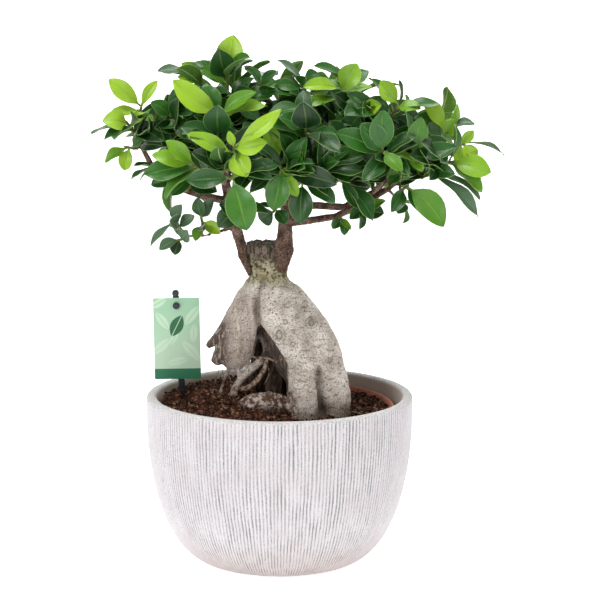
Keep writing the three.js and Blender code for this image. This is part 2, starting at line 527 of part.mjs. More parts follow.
// One leaf: a pointed stalk, a folded and arched blade, and a pointed tip. A plain leaf has one row less.
function leafSolid(base, way, leaf, grow) {
  const size = length(way);
  const along = unit(way);
  const turn = leaf.front / 10;
  const outward = times(unit([base[0], base[1], 90]), 1 - turn);
  const towards = unit(add(outward, times([0, -0.97, 0.24], turn)));
  const side = unit(cross(along, towards));
  const face = cross(side, along);
  const at = (s, across, up) => {
    const lift = leafArch * size * 4 * s * (1 - s) + up;
    return add(base, add(times(along, s * size), add(times(side, across), times(face, lift))));
  };
  const half = (leaf.width / 2) * leafWide * treeSize;
  const rows = leaf.plain ? [[0.14, 0.7], [0.55, half]] : [[0.14, 0.7], [0.4, half * 0.94], [0.72, half * 0.86]];
  const points = [at(0, 0, 0)];
  rows.forEach(([s, w]) => {
    const thick = leafHalfThick + grow;
    points.push(at(s, -w - grow, leafFold * w));
    points.push(at(s, 0, -thick));
    points.push(at(s, w + grow, leafFold * w));
    points.push(at(s, 0, thick));
  });
  const tip = points.push(at(1, 0, 0)) - 1;
  const faces = [];
  for (let k = 0; k < 4; k++) {
    const n = (k + 1) % 4;
    faces.push([0, 1 + k, 1 + n]);
    for (let row = 0; row < rows.length - 1; row++) {
      const a = 1 + row * 4;
      faces.push([a + k, a + 4 + n, a + n], [a + k, a + 4 + k, a + 4 + n]);
    }
    faces.push([tip - 4 + k, tip, tip - 4 + n]);
  }
  return solidFromLists(points, faces);
}

function nearestOn(branches, point) {
  let best = null;
  branches.forEach((branch) => {
    for (let i = 0; i < branch.length - 1; i++) {
      const a = branch[i].slice(0, 3);
      const way = sub(branch[i + 1].slice(0, 3), a);
      const t = Math.min(1, Math.max(0, dot(sub(point, a), way) / dot(way, way)));
      const near = add(a, times(way, t));
      const gap = length(sub(point, near));
      if (!best || gap < best.gap) best = { near, gap };
    }
  });
  return best.near;
}

function touches(a, b) {
  const p = a.boundingBox();
  const q = b.boundingBox();
  for (let k = 0; k < 3; k++) {
    if (p.min[k] > q.max[k] || q.min[k] > p.max[k]) return false;
  }
  return a.intersect(b).volume() > 1e-6;
}

const crowns = { left: leftBranches, right: rightBranches };
const crownSolids = {};
const trunk = rootTrunk(0);
const trunkGrown = rootTrunk(seatGap);
for (const [crown, branches] of Object.entries(crowns)) {
  const limbs = branches.map((branch, i) => rod(smooth(branch.map(placed), i === 0 ? 2 : 1), i === 0 ? 8 : 5));
  shoots
    .filter((shoot) => shoot[0] === crown)
    .forEach((shoot) => {
      const foot = placed(shoot[1]);
      const near = nearestOn(branches.map((branch) => branch.map(placed)), foot);
      limbs.push(rod([[...near, twigRadius * 1.15], [...foot, twigRadius]], 4));
    });
  crownSolids[crown] = joined(limbs);
}
crownSolids.left = largest(crownSolids.left.subtract(trunkGrown));
crownSolids.right = largest(crownSolids.right.subtract(trunkGrown));

const shootRods = shoots.map((shoot) => {
  const foot = placed(shoot[1]);
  const tip = placed(shoot[2]);
  const near = nearestOn(crowns[shoot[0]].map((branch) => branch.map(placed)), foot);
  const out = unit(sub(foot, near));
  const bud = add(tip, times(unit(sub(tip, foot)), 5 * treeSize));
  return rod(
    [
      [...add(foot, times(out, seatGap)), twigRadius],
      [...add(foot, times(out, twigCollar)), twigRadius],
      [...tip, twigRadius * 0.8],
      [...bud, 0.3],
    ],
    4,
  );
});

const placedLeaves = [];
const shootSolids = shoots.map((shoot, index) => {
  const foot = placed(shoot[1]);
  const tip = placed(shoot[2]);
  const own = [shootRods[index]];
  leavesOf(shoot, index).forEach((leaf) => {
    const base = add(foot, times(sub(tip, foot), leaf.place));
    const size = times(leaf.way, treeSize);
    for (let k = 0; k < 2 * bends.length; k++) {
      const way = bent(size, k);
      const grown = leafSolid(base, way, leaf, leafGap);
      const blocked =
        touches(grown, trunk) ||
        touches(grown, crownSolids.left) ||
        touches(grown, crownSolids.right) ||
        shootRods.some((other, i) => i !== index && touches(grown, other)) ||
        placedLeaves.some((other) => other.shoot !== index && touches(grown, other.solid));
      if (blocked) continue;
      const solid = leafSolid(base, way, leaf, 0);
      const crossing = placedLeaves.some(
        (other) => other.shoot === index && solid.intersect(other.solid).volume() > 0.8,
      );
      if (crossing) continue;
      placedLeaves.push({ shoot: index, solid });
      own.push(solid);
      break;
    }
  });
  return largest(joined(own));
});

// ---------- the plant label ----------
const stakeFront = cardThick / 2 + seatGap;
const stakeBack = stakeFront + stakeThick;
const stakeTop = cardTop + 3.4;
const stakeLine = 19; // how far behind the middle the label stands
const studHeight = bowlHeight + 65;
const stakeFoot = soilHeight(stakeInset - potRimRadius, stakeLine) - stakeDepth;
const wallAtFoot = mix(potFootRadius, potBodyRadius, (stakeFoot - potFootTop) / (potBandBottom - potFootTop));
const footReach = wallAtFoot - potWall - stakeWallGap;
const footAcross = stakeWidth / 2 - Math.sqrt(footReach ** 2 - (stakeLine + stakeBack) ** 2);
const studAcross = footAcross - (studHeight - stakeFoot) * Math.sin(stakeTilt);
const hinge = [studAcross, stakeLine, studHeight]; // the stud that the card hangs on
// Swings a point, [across, back, up] from the stud, about the stud into place.
function swung([across, back, up], tilt) {
  const x = across * Math.cos(tilt) - up * Math.sin(tilt);
  const z = across * Math.sin(tilt) + up * Math.cos(tilt);
  return [hinge[0] + x, hinge[1] + back, hinge[2] + z];
}

function labelBlock([x0, x1], [y0, y1], [z0, z1], tilt) {
  const points = [];
  for (const z of [z0, z1]) {
    points.push(swung([x0, y0, z], tilt), swung([x1, y0, z], tilt));
    points.push(swung([x1, y1, z], tilt), swung([x0, y1, z], tilt));
  }
  const faces = [
    [0, 2, 1],
    [0, 3, 2],
    [4, 5, 6],
    [4, 6, 7],
  ];
  for (let k = 0; k < 4; k++) {
    const n = (k + 1) % 4;
    faces.push([k, n, n + 4], [k, n + 4, k + 4]);
  }
  return solidFromLists(points, faces);
}

// A round pin from back y0 to y1, at a height above the stud.
function labelPin(up, y0, y1, radius) {
  return rod([[...swung([0, y0, up], stakeTilt), radius], [...swung([0, y1, up], stakeTilt), radius]], 14);
}

function labelCard() {
  const half = cardThick / 2;
  const top = cardTop;
  const card = labelBlock([-cardWidth / 2, cardWidth / 2], [-half, half], [top - cardHeight, top], cardTilt);
  return card.subtract(labelPin(0, -2, 2, studRadius + seatGap));
}

function labelStake() {
  const half = stakeWidth / 2;
  const foot = stakeFoot - hinge[2];
  const stem = labelBlock([-half, half], [stakeFront, stakeBack], [foot, stakeTop - 2], stakeTilt);
  const knob = labelPin(stakeTop, stakeFront, stakeBack + 0.4, half + 0.2);
  const stud = labelPin(0, -stakeFront - 0.8, stakeFront + 0.5, studRadius);
  const head = labelPin(0, -stakeFront - 1.6, -stakeFront, studRadius + 0.9);
  return joined([stem, knob, stud, head]);
}

function stakeHole() {
  const half = stakeWidth / 2 + seatGap;
  const foot = stakeFoot - hinge[2] - seatGap;
  return labelBlock([-half, half], [stakeFront - seatGap, stakeBack + seatGap], [foot, 0], stakeTilt);
}

// ---------- putting it together ----------
const group = new THREE.Group();

function piece(name, solid, colour, roughness, metalness = 0) {
  const data = solid.getMesh();
  const geometry = new THREE.BufferGeometry();
  const corners = new Float32Array(data.numVert * 3);
  for (let i = 0; i < data.numVert; i++) {
    for (let k = 0; k < 3; k++) corners[3 * i + k] = data.vertProperties[i * data.numProp + k];
  }
  geometry.setAttribute("position", new THREE.BufferAttribute(corners, 3));
  geometry.setIndex(new THREE.BufferAttribute(new Uint32Array(data.triVerts), 1));
  const finish = new THREE.MeshStandardMaterial({ color: colour, roughness, metalness });
  const mesh = new THREE.Mesh(geometry, finish);
  mesh.name = name;
  group.add(mesh);
}

const soil = soilBlock().subtract(trunkGrown).subtract(stakeHole());

piece("cover_bowl", coverBowl(), 0xd9d6d2, 0.85);
piece("nursery_pot", nurseryPot(), 0xb4532f, 0.6);
piece("potting_soil", largest(soil), 0x3a241a, 0.95);
piece("root_trunk", trunk, 0xa79b86, 0.8);
piece("graft_branch_left", crownSolids.left, 0x6e5443, 0.85);
piece("graft_branch_right", crownSolids.right, 0x6e5443, 0.85);
piece("label_card", labelCard(), 0xb5dbb8, 0.4);
piece("label_stake", labelStake(), 0x23282c, 0.45);
shootSolids.forEach((solid, index) => {
  const number = String(index + 1).padStart(2, "0");
  const tone = shoots[index][6];
  const colour = tone < 0 ? 0x55705a : tone < 2 ? 0x1f4a25 : tone < 4 ? 0x2f6b2b : 0x6f9f2c;
  piece("leafy_shoot_" + number, solid, colour, 0.4);
});

export default group;
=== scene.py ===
# %% [markdown]
# # A grafted ficus in a ribbed stoneware bowl
# The object is a small grafted fig tree with thick bare roots. It grows in a plastic nursery pot, which stands
# out of sight in a pale ribbed bowl, and a printed card hangs on a stake in the soil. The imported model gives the
# shape and place of each part. This lesson builds the visible pieces round it, in metres.

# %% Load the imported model
import math
import random

import bmesh
import bpy
import numpy as np
from mathutils import Matrix, Vector, kdtree
from mathutils import noise as lumps


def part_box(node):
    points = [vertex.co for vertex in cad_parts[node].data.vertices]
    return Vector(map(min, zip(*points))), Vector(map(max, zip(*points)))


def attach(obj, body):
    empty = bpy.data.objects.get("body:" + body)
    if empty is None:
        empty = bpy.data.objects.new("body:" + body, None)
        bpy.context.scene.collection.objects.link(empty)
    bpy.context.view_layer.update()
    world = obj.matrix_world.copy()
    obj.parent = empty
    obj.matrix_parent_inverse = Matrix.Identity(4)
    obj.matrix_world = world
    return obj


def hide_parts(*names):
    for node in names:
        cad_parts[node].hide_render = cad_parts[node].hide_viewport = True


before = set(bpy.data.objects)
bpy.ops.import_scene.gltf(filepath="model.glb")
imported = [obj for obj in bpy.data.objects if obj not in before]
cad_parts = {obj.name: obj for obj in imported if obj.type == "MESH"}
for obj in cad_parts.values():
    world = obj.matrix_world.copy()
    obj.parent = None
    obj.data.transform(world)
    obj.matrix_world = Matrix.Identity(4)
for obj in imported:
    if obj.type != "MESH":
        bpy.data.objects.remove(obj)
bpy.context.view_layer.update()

MM = 0.001
bpy.context.scene.view_settings.view_transform = "Standard"

# %% [markdown]
# ## Camera
# A long lens from 1.7 m away, looking down by ten degrees, keeps the bowl's ellipse flat. The small sideways
# shift puts the bowl a little left of the middle. The camera is made first, so that every later step can be
# looked at from the same place.

# %% Camera
camera = bpy.data.objects.new("camera", bpy.data.cameras.new("camera"))
bpy.context.collection.objects.link(camera)
camera.location = (0, -1.6746, 0.4952)
camera.rotation_euler = (math.radians(80.09), 0, 0)
camera.data.lens = 133.3
camera.data.shift_x = 0.034
bpy.context.scene.camera = camera

# %% [markdown]
# ## Writing finishes as sums
# A finish is a tree of shader nodes. Wiring nodes one by one hides the idea, so a socket is wrapped in a small
# class that can be added and multiplied like a number. One method adds any other node: it takes the node's
# type, its settings, and what goes into its sockets.

# %% The class for a socket
class Wire:
    """What comes out of a shader node, ready for sums."""

    def __init__(self, finish, socket):
        self.finish = finish
        self.socket = socket

    def sum(self, operation, first, second=0.0):
        return self.finish.node("ShaderNodeMath", {"operation": operation}, {0: first, 1: second})

    def __add__(self, other):
        return self.sum("ADD", self, other)

    def __sub__(self, other):
        return self.sum("SUBTRACT", self, other)

    def __rsub__(self, other):
        return self.sum("SUBTRACT", other, self)

    def __mul__(self, other):
        return self.sum("MULTIPLY", self, other)

    def __pow__(self, other):
        return self.sum("POWER", self, other)

    def __lt__(self, other):
        return self.sum("LESS_THAN", self, other)

    def __gt__(self, other):
        return self.sum("GREATER_THAN", self, other)

    def __abs__(self):
        return self.sum("ABSOLUTE", self)

    __radd__ = __add__
    __rmul__ = __mul__


# %% The class for a finish
class Finish:
    """A material: a Principled shader, and the nodes that feed it."""

    def __init__(self, name, **constants):
        self.material = bpy.data.materials.new(name)
        self.material.use_nodes = True
        self.tree = self.material.node_tree
        self.shader = self.tree.nodes["Principled BSDF"]
        for socket, value in constants.items():
            self.shader.inputs[socket.replace("_", " ")].default_value = value

    def node(self, kind, settings, inputs, output=0):
        made = self.tree.nodes.new(kind)
        for key, value in settings.items():
            if key == "stops":
                self.set_stops(made.color_ramp, value)
            else:
                setattr(made, key, value)
        for key, value in inputs.items():
            self.feed(made.inputs[key], value)
        return Wire(self, made.outputs[output])

    def set_stops(self, ramp, stops):
        while len(ramp.elements) < len(stops):
            ramp.elements.new(1.0)
        for element, (place, colour) in zip(ramp.elements, stops):
            element.position = place
            element.color = colour

    def feed(self, socket, value):
        if isinstance(value, Wire):
            self.tree.links.new(value.socket, socket)
        else:
            socket.default_value = value

    def place(self):
        return self.node("ShaderNodeTexCoord", {}, {}, "Object")

    def stretched(self, x, y, z):
        return self.node("ShaderNodeMapping", {}, {"Vector": self.place(), "Scale": (x, y, z)})

    def part(self, vector, axis):
        return self.node("ShaderNodeSeparateXYZ", {}, {0: vector}, axis)

    def noise(self, size, vector=None, detail=3.0, roughness=0.55):
        """Soft blotches about this many millimetres wide, from 0 to 1."""
        vector = vector or self.place()
        inputs = {"Vector": vector, "Scale": 1 / (size * MM), "Detail": detail, "Roughness": roughness}
        return self.node("ShaderNodeTexNoise", {}, inputs)

    def pits(self, size, vector=None):
        """Distance from the nearest of many scattered points, about 0 at a point and 0.7 between points."""
        inputs = {"Vector": vector or self.place(), "Scale": 1 / (size * MM)}
        return self.node("ShaderNodeTexVoronoi", {}, inputs)

    def value(self, name):
        return self.node("ShaderNodeAttribute", {"attribute_name": name}, {}, "Fac")

    def between(self, wire, low, high):
        """0 below low, 1 above high, and a smooth climb between them."""
        settings = {"interpolation_type": "SMOOTHSTEP"}
        return self.node("ShaderNodeMapRange", settings, {"Value": wire, "From Min": low, "From Max": high})

    def mix(self, factor, first, second):
        inputs = {0: factor, 6: first, 7: second}
        return self.node("ShaderNodeMix", {"data_type": "RGBA", "clamp_factor": True}, inputs, 2)

    def done(self, colour=None, roughness=None, height=None, depth=0.3):
        if colour is not None:
            self.feed(self.shader.inputs["Base Color"], colour)
        if roughness is not None:
            self.feed(self.shader.inputs["Roughness"], roughness)
        if height is not None:
            inputs = {"Height": height, "Distance": depth * MM, "Strength": 1.0}
            self.feed(self.shader.inputs["Normal"], self.node("ShaderNodeBump", {}, inputs))
        return self.material


def rgb(red, green, blue):
    """A screen colour from 0 to 255 as the linear colour that a shader takes."""
    return tuple((v / 255 / 12.92 if v < 11 else ((v / 255 + 0.055) / 1.055) ** 2.4) for v in (red, green, blue)) + (1,)


# %% [markdown]
# ## Adding a piece
# Every piece rides on the one body of the model, and the node of the imported model that it replaces is hidden.
# One helper does both, so that neither is forgotten.

# %% Helpers that every piece uses
def mesh_of(shape, smooth=True):
    """The mesh of a bmesh, with its faces pointing outwards."""
    bmesh.ops.recalc_face_normals(shape, faces=shape.faces)
    mesh = bpy.data.meshes.new("mesh")
    shape.to_mesh(mesh)
    shape.free()
    if smooth:
        mesh.shade_smooth()
    return mesh


def hand_in(name, mesh, node, slot, *finishes):
    mesh.name = name
    piece = bpy.data.objects.new(name, mesh)
    bpy.context.collection.objects.link(piece)
    for finish in finishes:
        mesh.materials.append(finish)
    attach(piece, "root")
    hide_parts(node)
    print(name, len(mesh.vertices), "points", len(mesh.polygons), "faces")
    return piece


def finished(mesh, kind, **settings):
    """The mesh with one modifier worked into it."""
    holder = bpy.data.objects.new("holder", mesh)
    bpy.context.collection.objects.link(holder)
    modifier = holder.modifiers.new("step", kind)
    for key, value in settings.items():
        setattr(modifier, key, value)
    made = bpy.data.meshes.new_from_object(holder.evaluated_get(bpy.context.evaluated_depsgraph_get()))
    bpy.data.objects.remove(holder)
    return made


def turned(profile, steps):
    """A bmesh of the profile, (radius, height) pairs, spun once round the upright axis."""
    shape = bmesh.new()
    corners = [shape.verts.new((radius, 0, height)) for radius, height in profile]
    edges = [shape.edges.new(pair) for pair in zip(corners, corners[1:])]
    bmesh.ops.spin(
        shape, geom=corners + edges, axis=(0, 0, 1), cent=(0, 0, 0), angle=2 * math.pi, steps=steps, use_merge=True
    )
    bmesh.ops.remove_doubles(shape, verts=shape.verts, dist=1e-6)
    return shape


def mixed(a, b, t):
    return a + (b - a) * t


def climb(x, low, high):
    t = min(1, max(0, (x - low) / (high - low)))
    return t * t * (3 - 2 * t)


def rough(point, x, y, z):
    """Smooth noise from -1 to 1 at a point, with bumps this many millimetres long each way."""
    return lumps.noise(Vector((point[0] / (x * MM), point[1] / (y * MM), point[2] / (z * MM))))


# %% [markdown]
# ## The stoneware bowl
# The real bowl is cast, and its outside is combed with upright lines while the clay is soft. A comb leaves
# uneven grooves, so an even wave would look machined. The wall is spun from a profile, and each point is then
# pushed in by a wave whose phase and depth wander. The same wave is kept as a value on the points, so that the
# finish knows where grey slip gathered in the grooves.

# %% The bowl's measures
_, bowl_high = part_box("cover_bowl")
BOWL_RADIUS = bowl_high[0]
BOWL_HEIGHT = bowl_high[2]
BOWL_FOOT = 52 * MM
BOWL_WALL = 8.2 * MM
BOWL_FLOOR = 10 * MM
INNER_FOOT = BOWL_FOOT - 4 * MM
LIP = BOWL_WALL * 0.38
TURN = BOWL_HEIGHT - LIP
RIBS = 220
RIB_DEPTH = 0.9 * MM


def swell(t):
    return math.sqrt(1 - (1 - t) ** 2.4)


# %% The bowl's profile, spun
def bowl_profile():
    outer = [(0, 0), (BOWL_FOOT * 0.5, 0)]
    rows = 50
    for k in range(rows + 1):
        t = (k / rows) ** 1.6
        outer.append((mixed(BOWL_FOOT, BOWL_RADIUS, swell(t)), t * TURN))
    lip = []
    for k in range(1, 8):
        angle = math.pi * k / 8
        middle = BOWL_RADIUS - LIP if k < 4 else BOWL_RADIUS - BOWL_WALL + LIP
        lip.append((middle + LIP * math.cos(angle), TURN + LIP * math.sin(angle)))
    inner = []
    for t in (1, 0.8, 0.6, 0.42, 0.27, 0.14, 0.05, 0):
        inner.append((mixed(INNER_FOOT, BOWL_RADIUS - BOWL_WALL, swell(t)), mixed(BOWL_FLOOR, TURN, t)))
    return outer + lip + inner + [(0, BOWL_FLOOR)]


# %% The combed lines
def combed_bowl():
    shape = turned(bowl_profile(), RIBS * 6)
    ridge = shape.verts.layers.float.new("ridge")
    combed = shape.verts.layers.float.new("combed")
    for vert in shape.verts:
        co = vert.co
        reach = math.hypot(co.x, co.y)
        if reach < BOWL_FOOT or co.z < 0.3 * MM:
            continue
        wall = mixed(BOWL_FOOT, BOWL_RADIUS, swell(min(1, co.z / TURN)))
        if reach < wall - 2.5 * MM:
            continue
        wander = 1.9 * rough(co, 13, 13, 60) + 1.0 * rough(co, 5, 5, 12)
        wave = 0.5 + 0.5 * math.cos(RIBS * math.atan2(co.y, co.x) + wander)
        height = min(1, max(0, wave + 0.16 * rough(co, 3, 3, 5)))
        share = climb(BOWL_HEIGHT - co.z, 0.6 * MM, 3.5 * MM) * climb(co.z, 0, 3 * MM)
        pressure = min(1.25, max(0.4, 0.85 + 0.35 * rough(co, 5, 5, 30)))
        depth = share * RIB_DEPTH * pressure
        height = height**0.8
        out = Vector((co.x, co.y, 0)).normalized()
        vert.co = co - out * depth * (1 - height)
        vert[ridge] = 1 - (1 - height) * pressure
        vert[combed] = share
    return mesh_of(shape)


# %% [markdown]
# The glaze is a thin whitish wash over grey clay: white on the ridges, grey in the grooves, with faint pink and
# lavender patches. The lip and the first few millimetres are only stippled, and the inside is bare and browner.

# %% The bowl's finish
def stoneware():
    finish = Finish("combed_stoneware", Specular_IOR_Level=0.25)
    place = finish.place()
    height = finish.part(place, "Z")
    combed = finish.value("combed")
    grain = finish.noise(0.9, detail=4.0, roughness=0.7)
    streaks = finish.noise(1.0, finish.stretched(0.9, 0.9, 0.13), detail=3.0)
    patches = finish.noise(26, detail=2.0)
    worn = finish.value("ridge") * 0.62 + streaks * 0.2 + grain * 1.1 - 0.44
    comb = finish.mix(finish.between(worn, 0.1, 0.72), rgb(132, 127, 130), rgb(228, 224, 227))
    tinted = finish.mix(finish.between(patches, 0.4, 0.7) * 0.35, comb, rgb(214, 202, 206))
    warm = finish.between(height, 42 * MM, 0) * 0.65
    outside = finish.mix(warm, tinted, finish.mix(finish.between(worn, 0.1, 0.7), rgb(138, 122, 114), rgb(214, 201, 196)))
    sand = finish.mix(finish.between(grain, 0.35, 0.62), rgb(176, 172, 170), rgb(232, 231, 231))
    wash = finish.mix(combed * 0.96, sand, outside)
    x = finish.part(place, "X")
    y = finish.part(place, "Y")
    reach = (x * x + y * y) ** 0.5
    wall = finish.mix(grain, rgb(186, 170, 160), rgb(204, 190, 180))
    bare = finish.between(reach, BOWL_RADIUS - BOWL_WALL + 1.2 * MM, BOWL_RADIUS - BOWL_WALL + 0.4 * MM)
    inside = bare * (1 - combed) * (height > 12 * MM)
    colour = finish.mix(inside, wash, wall)
    relief = grain + streaks * combed * 0.5
    return finish.done(colour, 0.9 - 0.15 * grain, relief, 0.8)


hand_in("ribbed_bowl", combed_bowl(), "cover_bowl", "stoneware", stoneware())

# %% [markdown]
# ## The nursery pot
# The grower's pot is thin moulded plastic. Only its rim shows, between the soil and the bowl, but the whole pot
# is spun so that it is there from every side. The rim has a rolled edge, drawn by a few points of the profile.

# %% The pot's shape
pot_low, pot_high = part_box("nursery_pot")
POT_RIM = pot_high[0]
POT_TOP = pot_high[2]
POT_BASE = pot_low[2]
POT_WALL = 1.5 * MM
POT_BODY = POT_RIM - 5 * MM
POT_FOOT = POT_BODY - 26 * MM


def nursery_pot():
    band = POT_TOP - 12 * MM
    outside = [(0, POT_BASE), (POT_FOOT - 12 * MM, POT_BASE), (POT_FOOT, POT_BASE + 7 * MM), (POT_BODY, band)]
    outside += [(POT_RIM - 1.5 * MM, band), (POT_RIM, POT_TOP - 0.6 * MM), (POT_RIM - 0.5 * MM, POT_TOP)]
    inside = [(r - POT_WALL, z + POT_WALL) for r, z in outside[1:5]]
    rim = [(POT_RIM - POT_WALL + 0.4 * MM, POT_TOP), (POT_RIM - POT_WALL, POT_TOP - 0.5 * MM)]
    shape = turned(outside + rim + inside[::-1] + [(0, POT_BASE + POT_WALL)], 160)
    return mesh_of(shape, smooth=False)


def drain_cutters():
    shape = bmesh.new()
    for k in range(6):
        turn = Matrix.Rotation(2 * math.pi * (k + 0.5) / 6, 4, "Z")
        spot = turn @ Matrix.Translation((POT_FOOT - 23 * MM, 0, POT_BASE))
        bmesh.ops.create_cone(
            shape, cap_ends=True, segments=24, radius1=4.5 * MM, radius2=4.5 * MM, depth=10 * MM, matrix=spot
        )
    cutter = bpy.data.objects.new("cutter", mesh_of(shape, smooth=False))
    bpy.context.collection.objects.link(cutter)
    return cutter


# %% The pot's finish
def terracotta_plastic():
    finish = Finish("moulded_terracotta", Specular_IOR_Level=0.4)
    dust = finish.noise(9, detail=4.0)
    speck = finish.noise(0.8)
    colour = finish.mix(finish.between(dust, 0.45, 0.75) * 0.5, rgb(178, 96, 66), rgb(138, 76, 54))
    return finish.done(colour, 0.5 + 0.25 * dust, speck, 0.06)


cutter = drain_cutters()
pot = finished(nursery_pot(), "BOOLEAN", operation="DIFFERENCE", object=cutter, solver="EXACT")
bpy.data.objects.remove(cutter)
pot.shade_smooth()
pot.set_sharp_from_angle(angle=math.radians(35))
hand_in("nursery_pot_shell", pot, "nursery_pot", "terracotta_plastic", terracotta_plastic())

# %% [markdown]
# ## The soil
# Peat is a loose heap of crumbs with dry fibres in it. A displaced surface alone looks like putty, so there are
# two layers: a lumpy body that fills the pot, and thousands of small crumbs and fibres that lie on it. Crumbs
# repeat so often that each has only twenty faces.

# %% The lie of the soil, in millimetres
SOIL_LEVEL = POT_TOP / MM - 3.5


def soil_height(x, y):
    """The height of the soil, in metres, over a place in millimetres."""
    mound = 9 * (1 - climb(x, -45, 42))
    heap = 9 * math.exp(-((x + 36) ** 2 + (y + 2) ** 2) / 800)
    swells = 0.8 * math.sin(x * 0.16 + 1) * math.cos(y * 0.19) + 0.5 * math.sin(x * 0.31 + y * 0.27)
    edge = -2.5 * climb(math.hypot(x, y), POT_RIM / MM - 8, POT_RIM / MM + 4)
    return (SOIL_LEVEL + mound + heap + swells + edge) * MM


def soil_edge(x, y):
    """How far out the soil lies, in millimetres, on the side of this place: over the rim where it is heaped."""
    over = soil_height(x, y) > POT_TOP + 0.6 * MM
    return POT_RIM / MM + 3 if over else POT_RIM / MM - POT_WALL / MM - 0.4


# %% The body of the soil
def soil_body():
    rings = 70
    fill = POT_RIM - POT_WALL - 0.4 * MM
    top = [(fill * k / rings, POT_TOP) for k in range(rings + 1)]
    below = [(POT_RIM - 3.6 * MM, POT_TOP - 10.6 * MM), (POT_BODY - 2 * MM, POT_TOP - 10.6 * MM)]
    below += [(POT_FOOT - 2 * MM, POT_BASE + 8 * MM), (POT_FOOT - 12 * MM, POT_BASE + 2 * MM), (0, POT_BASE + 2 * MM)]
    shape = turned(top + below, 220)
    for vert in shape.verts:
        if vert.co.z < POT_TOP - 1e-6:
            continue
        x, y = vert.co.x / MM, vert.co.y / MM
        reach = math.hypot(x, y)
        if reach > 1:
            spread = 1 + (soil_edge(x / reach * POT_RIM / MM, y / reach * POT_RIM / MM) * MM / fill - 1) * climb(reach, 60, 88)
            x, y = x * spread, y * spread
        flat = Vector((x * MM, y * MM, 0))
        bumps = 2.6 * rough(flat, 7, 7, 7) + 1.6 * rough(flat, 4, 4, 4) + 0.5 * rough(flat, 1.4, 1.4, 1.4)
        vert.co = Vector((x * MM, y * MM, soil_height(x, y) + (bumps - 0.6) * MM))
    return mesh_of(shape)


# %% A mesh repeated many times
def stamped(pattern, places, values):
    """One mesh of many copies of the pattern, each moved by a matrix and given a value from 0 to 1."""
    corners = np.array([vert.co for vert in pattern.verts])
    faces = [[vert.index for vert in face.verts] for face in pattern.faces]
    points = np.concatenate([corners @ np.array(place.to_3x3()).T + np.array(place.translation) for place in places])
    mesh = bpy.data.meshes.new("stamped")
    mesh.from_pydata(points.tolist(), [], [[i + k * len(corners) for i in face] for k in range(len(places)) for face in faces])
    shade = mesh.attributes.new("pick", "FLOAT", "POINT")
    shade.data.foreach_set("value", np.repeat(np.array(values, dtype=np.float32), len(corners)))
    return mesh


def crumb_pattern():
    pattern = bmesh.new()
    bmesh.ops.create_icosphere(pattern, subdivisions=1, radius=1)
    for vert in pattern.verts:
        vert.co *= 1 + 0.3 * lumps.noise(vert.co * 1.7)
    pattern.verts.index_update()
    return pattern


# %% Crumbs scattered on the soil
def on_the_soil(chance):
    """A place in millimetres on the soil, spread evenly over its surface."""
    while True:
        x, y = chance.uniform(-92, 92), chance.uniform(-92, 92)
        if math.hypot(x, y) < soil_edge(x, y) - 1:
            return x, y


def soil_crumbs():
    chance = random.Random(4)
    places = []
    for _ in range(9500):
        x, y = on_the_soil(chance)
        size = chance.choice((0.4, 0.5, 0.6, 0.75, 1.1, 1.5)) * chance.uniform(0.8, 1.25)
        turn = Matrix.Rotation(chance.uniform(0, 6.28), 4, Vector((chance.gauss(0, 1), chance.gauss(0, 1), chance.gauss(0, 1))).normalized())
        shape = Matrix.Diagonal((size * MM, size * chance.uniform(0.5, 1) * MM, size * chance.uniform(0.4, 0.8) * MM, 1))
        lift = (2.2 * rough(Vector((x, y, 0)) * MM, 4, 4, 4) + chance.uniform(-0.9, 1.1)) * MM
        places.append(Matrix.Translation((x * MM, y * MM, soil_height(x, y) + lift)) @ turn @ shape)
    return stamped(crumb_pattern(), places, [chance.random() for _ in places])


def soil_fibres():
    """Short dry rootlets and bark threads lying on the peat."""
    chance = random.Random(9)
    pattern = bmesh.new()
    bmesh.ops.create_cone(pattern, cap_ends=True, segments=4, radius1=1, radius2=0.5, depth=1)
    pattern.verts.index_update()
    places = []
    for _ in range(420):
        x, y = on_the_soil(chance)
        long = chance.uniform(2.5, 9) * MM
        thick = chance.uniform(0.1, 0.22) * MM
        lean = Matrix.Rotation(math.radians(90 + chance.gauss(0, 12)), 4, "X")
        turn = Matrix.Rotation(chance.uniform(0, 6.28), 4, "Z")
        spot = Matrix.Translation((x * MM, y * MM, soil_height(x, y) + 0.7 * MM))
        places.append(spot @ turn @ lean @ Matrix.Diagonal((thick, thick, long, 1)))
    return stamped(pattern, places, [chance.random() for _ in places])


# %% The soil's finishes
def peat(name, crumbly):
    finish = Finish(name, Specular_IOR_Level=0.15)
    pick = finish.value("pick") if crumbly else finish.noise(2.2, detail=5.0, roughness=0.7)
    grain = finish.noise(0.7, detail=5.0, roughness=0.75)
    stops = [(0.0, rgb(14, 9, 7)), (0.4, rgb(66, 42, 31)), (0.7, rgb(124, 80, 57)), (1.0, rgb(220, 172, 138))]
    colour = finish.node("ShaderNodeValToRGB", {"stops": stops}, {"Fac": pick * 0.9 + grain * 0.9 - 0.5})
    return finish.done(colour, 0.95, grain, 1.2)


def straw():
    finish = Finish("dry_rootlet", Specular_IOR_Level=0.2)
    pick = finish.value("pick") * 0.7 + finish.noise(1.5) * 0.3
    return finish.done(finish.mix(pick, rgb(96, 58, 36), rgb(188, 148, 110)), 0.85, finish.noise(0.4), 0.1)


hand_in("peat_soil_body", soil_body(), "potting_soil", "peat_soil", peat("lumpy_peat", False))
hand_in("peat_crumbs", soil_crumbs(), "potting_soil", "peat_soil", peat("peat_crumb", True))
hand_in("peat_fibres", soil_fibres(), "potting_soil", "peat_soil", straw())

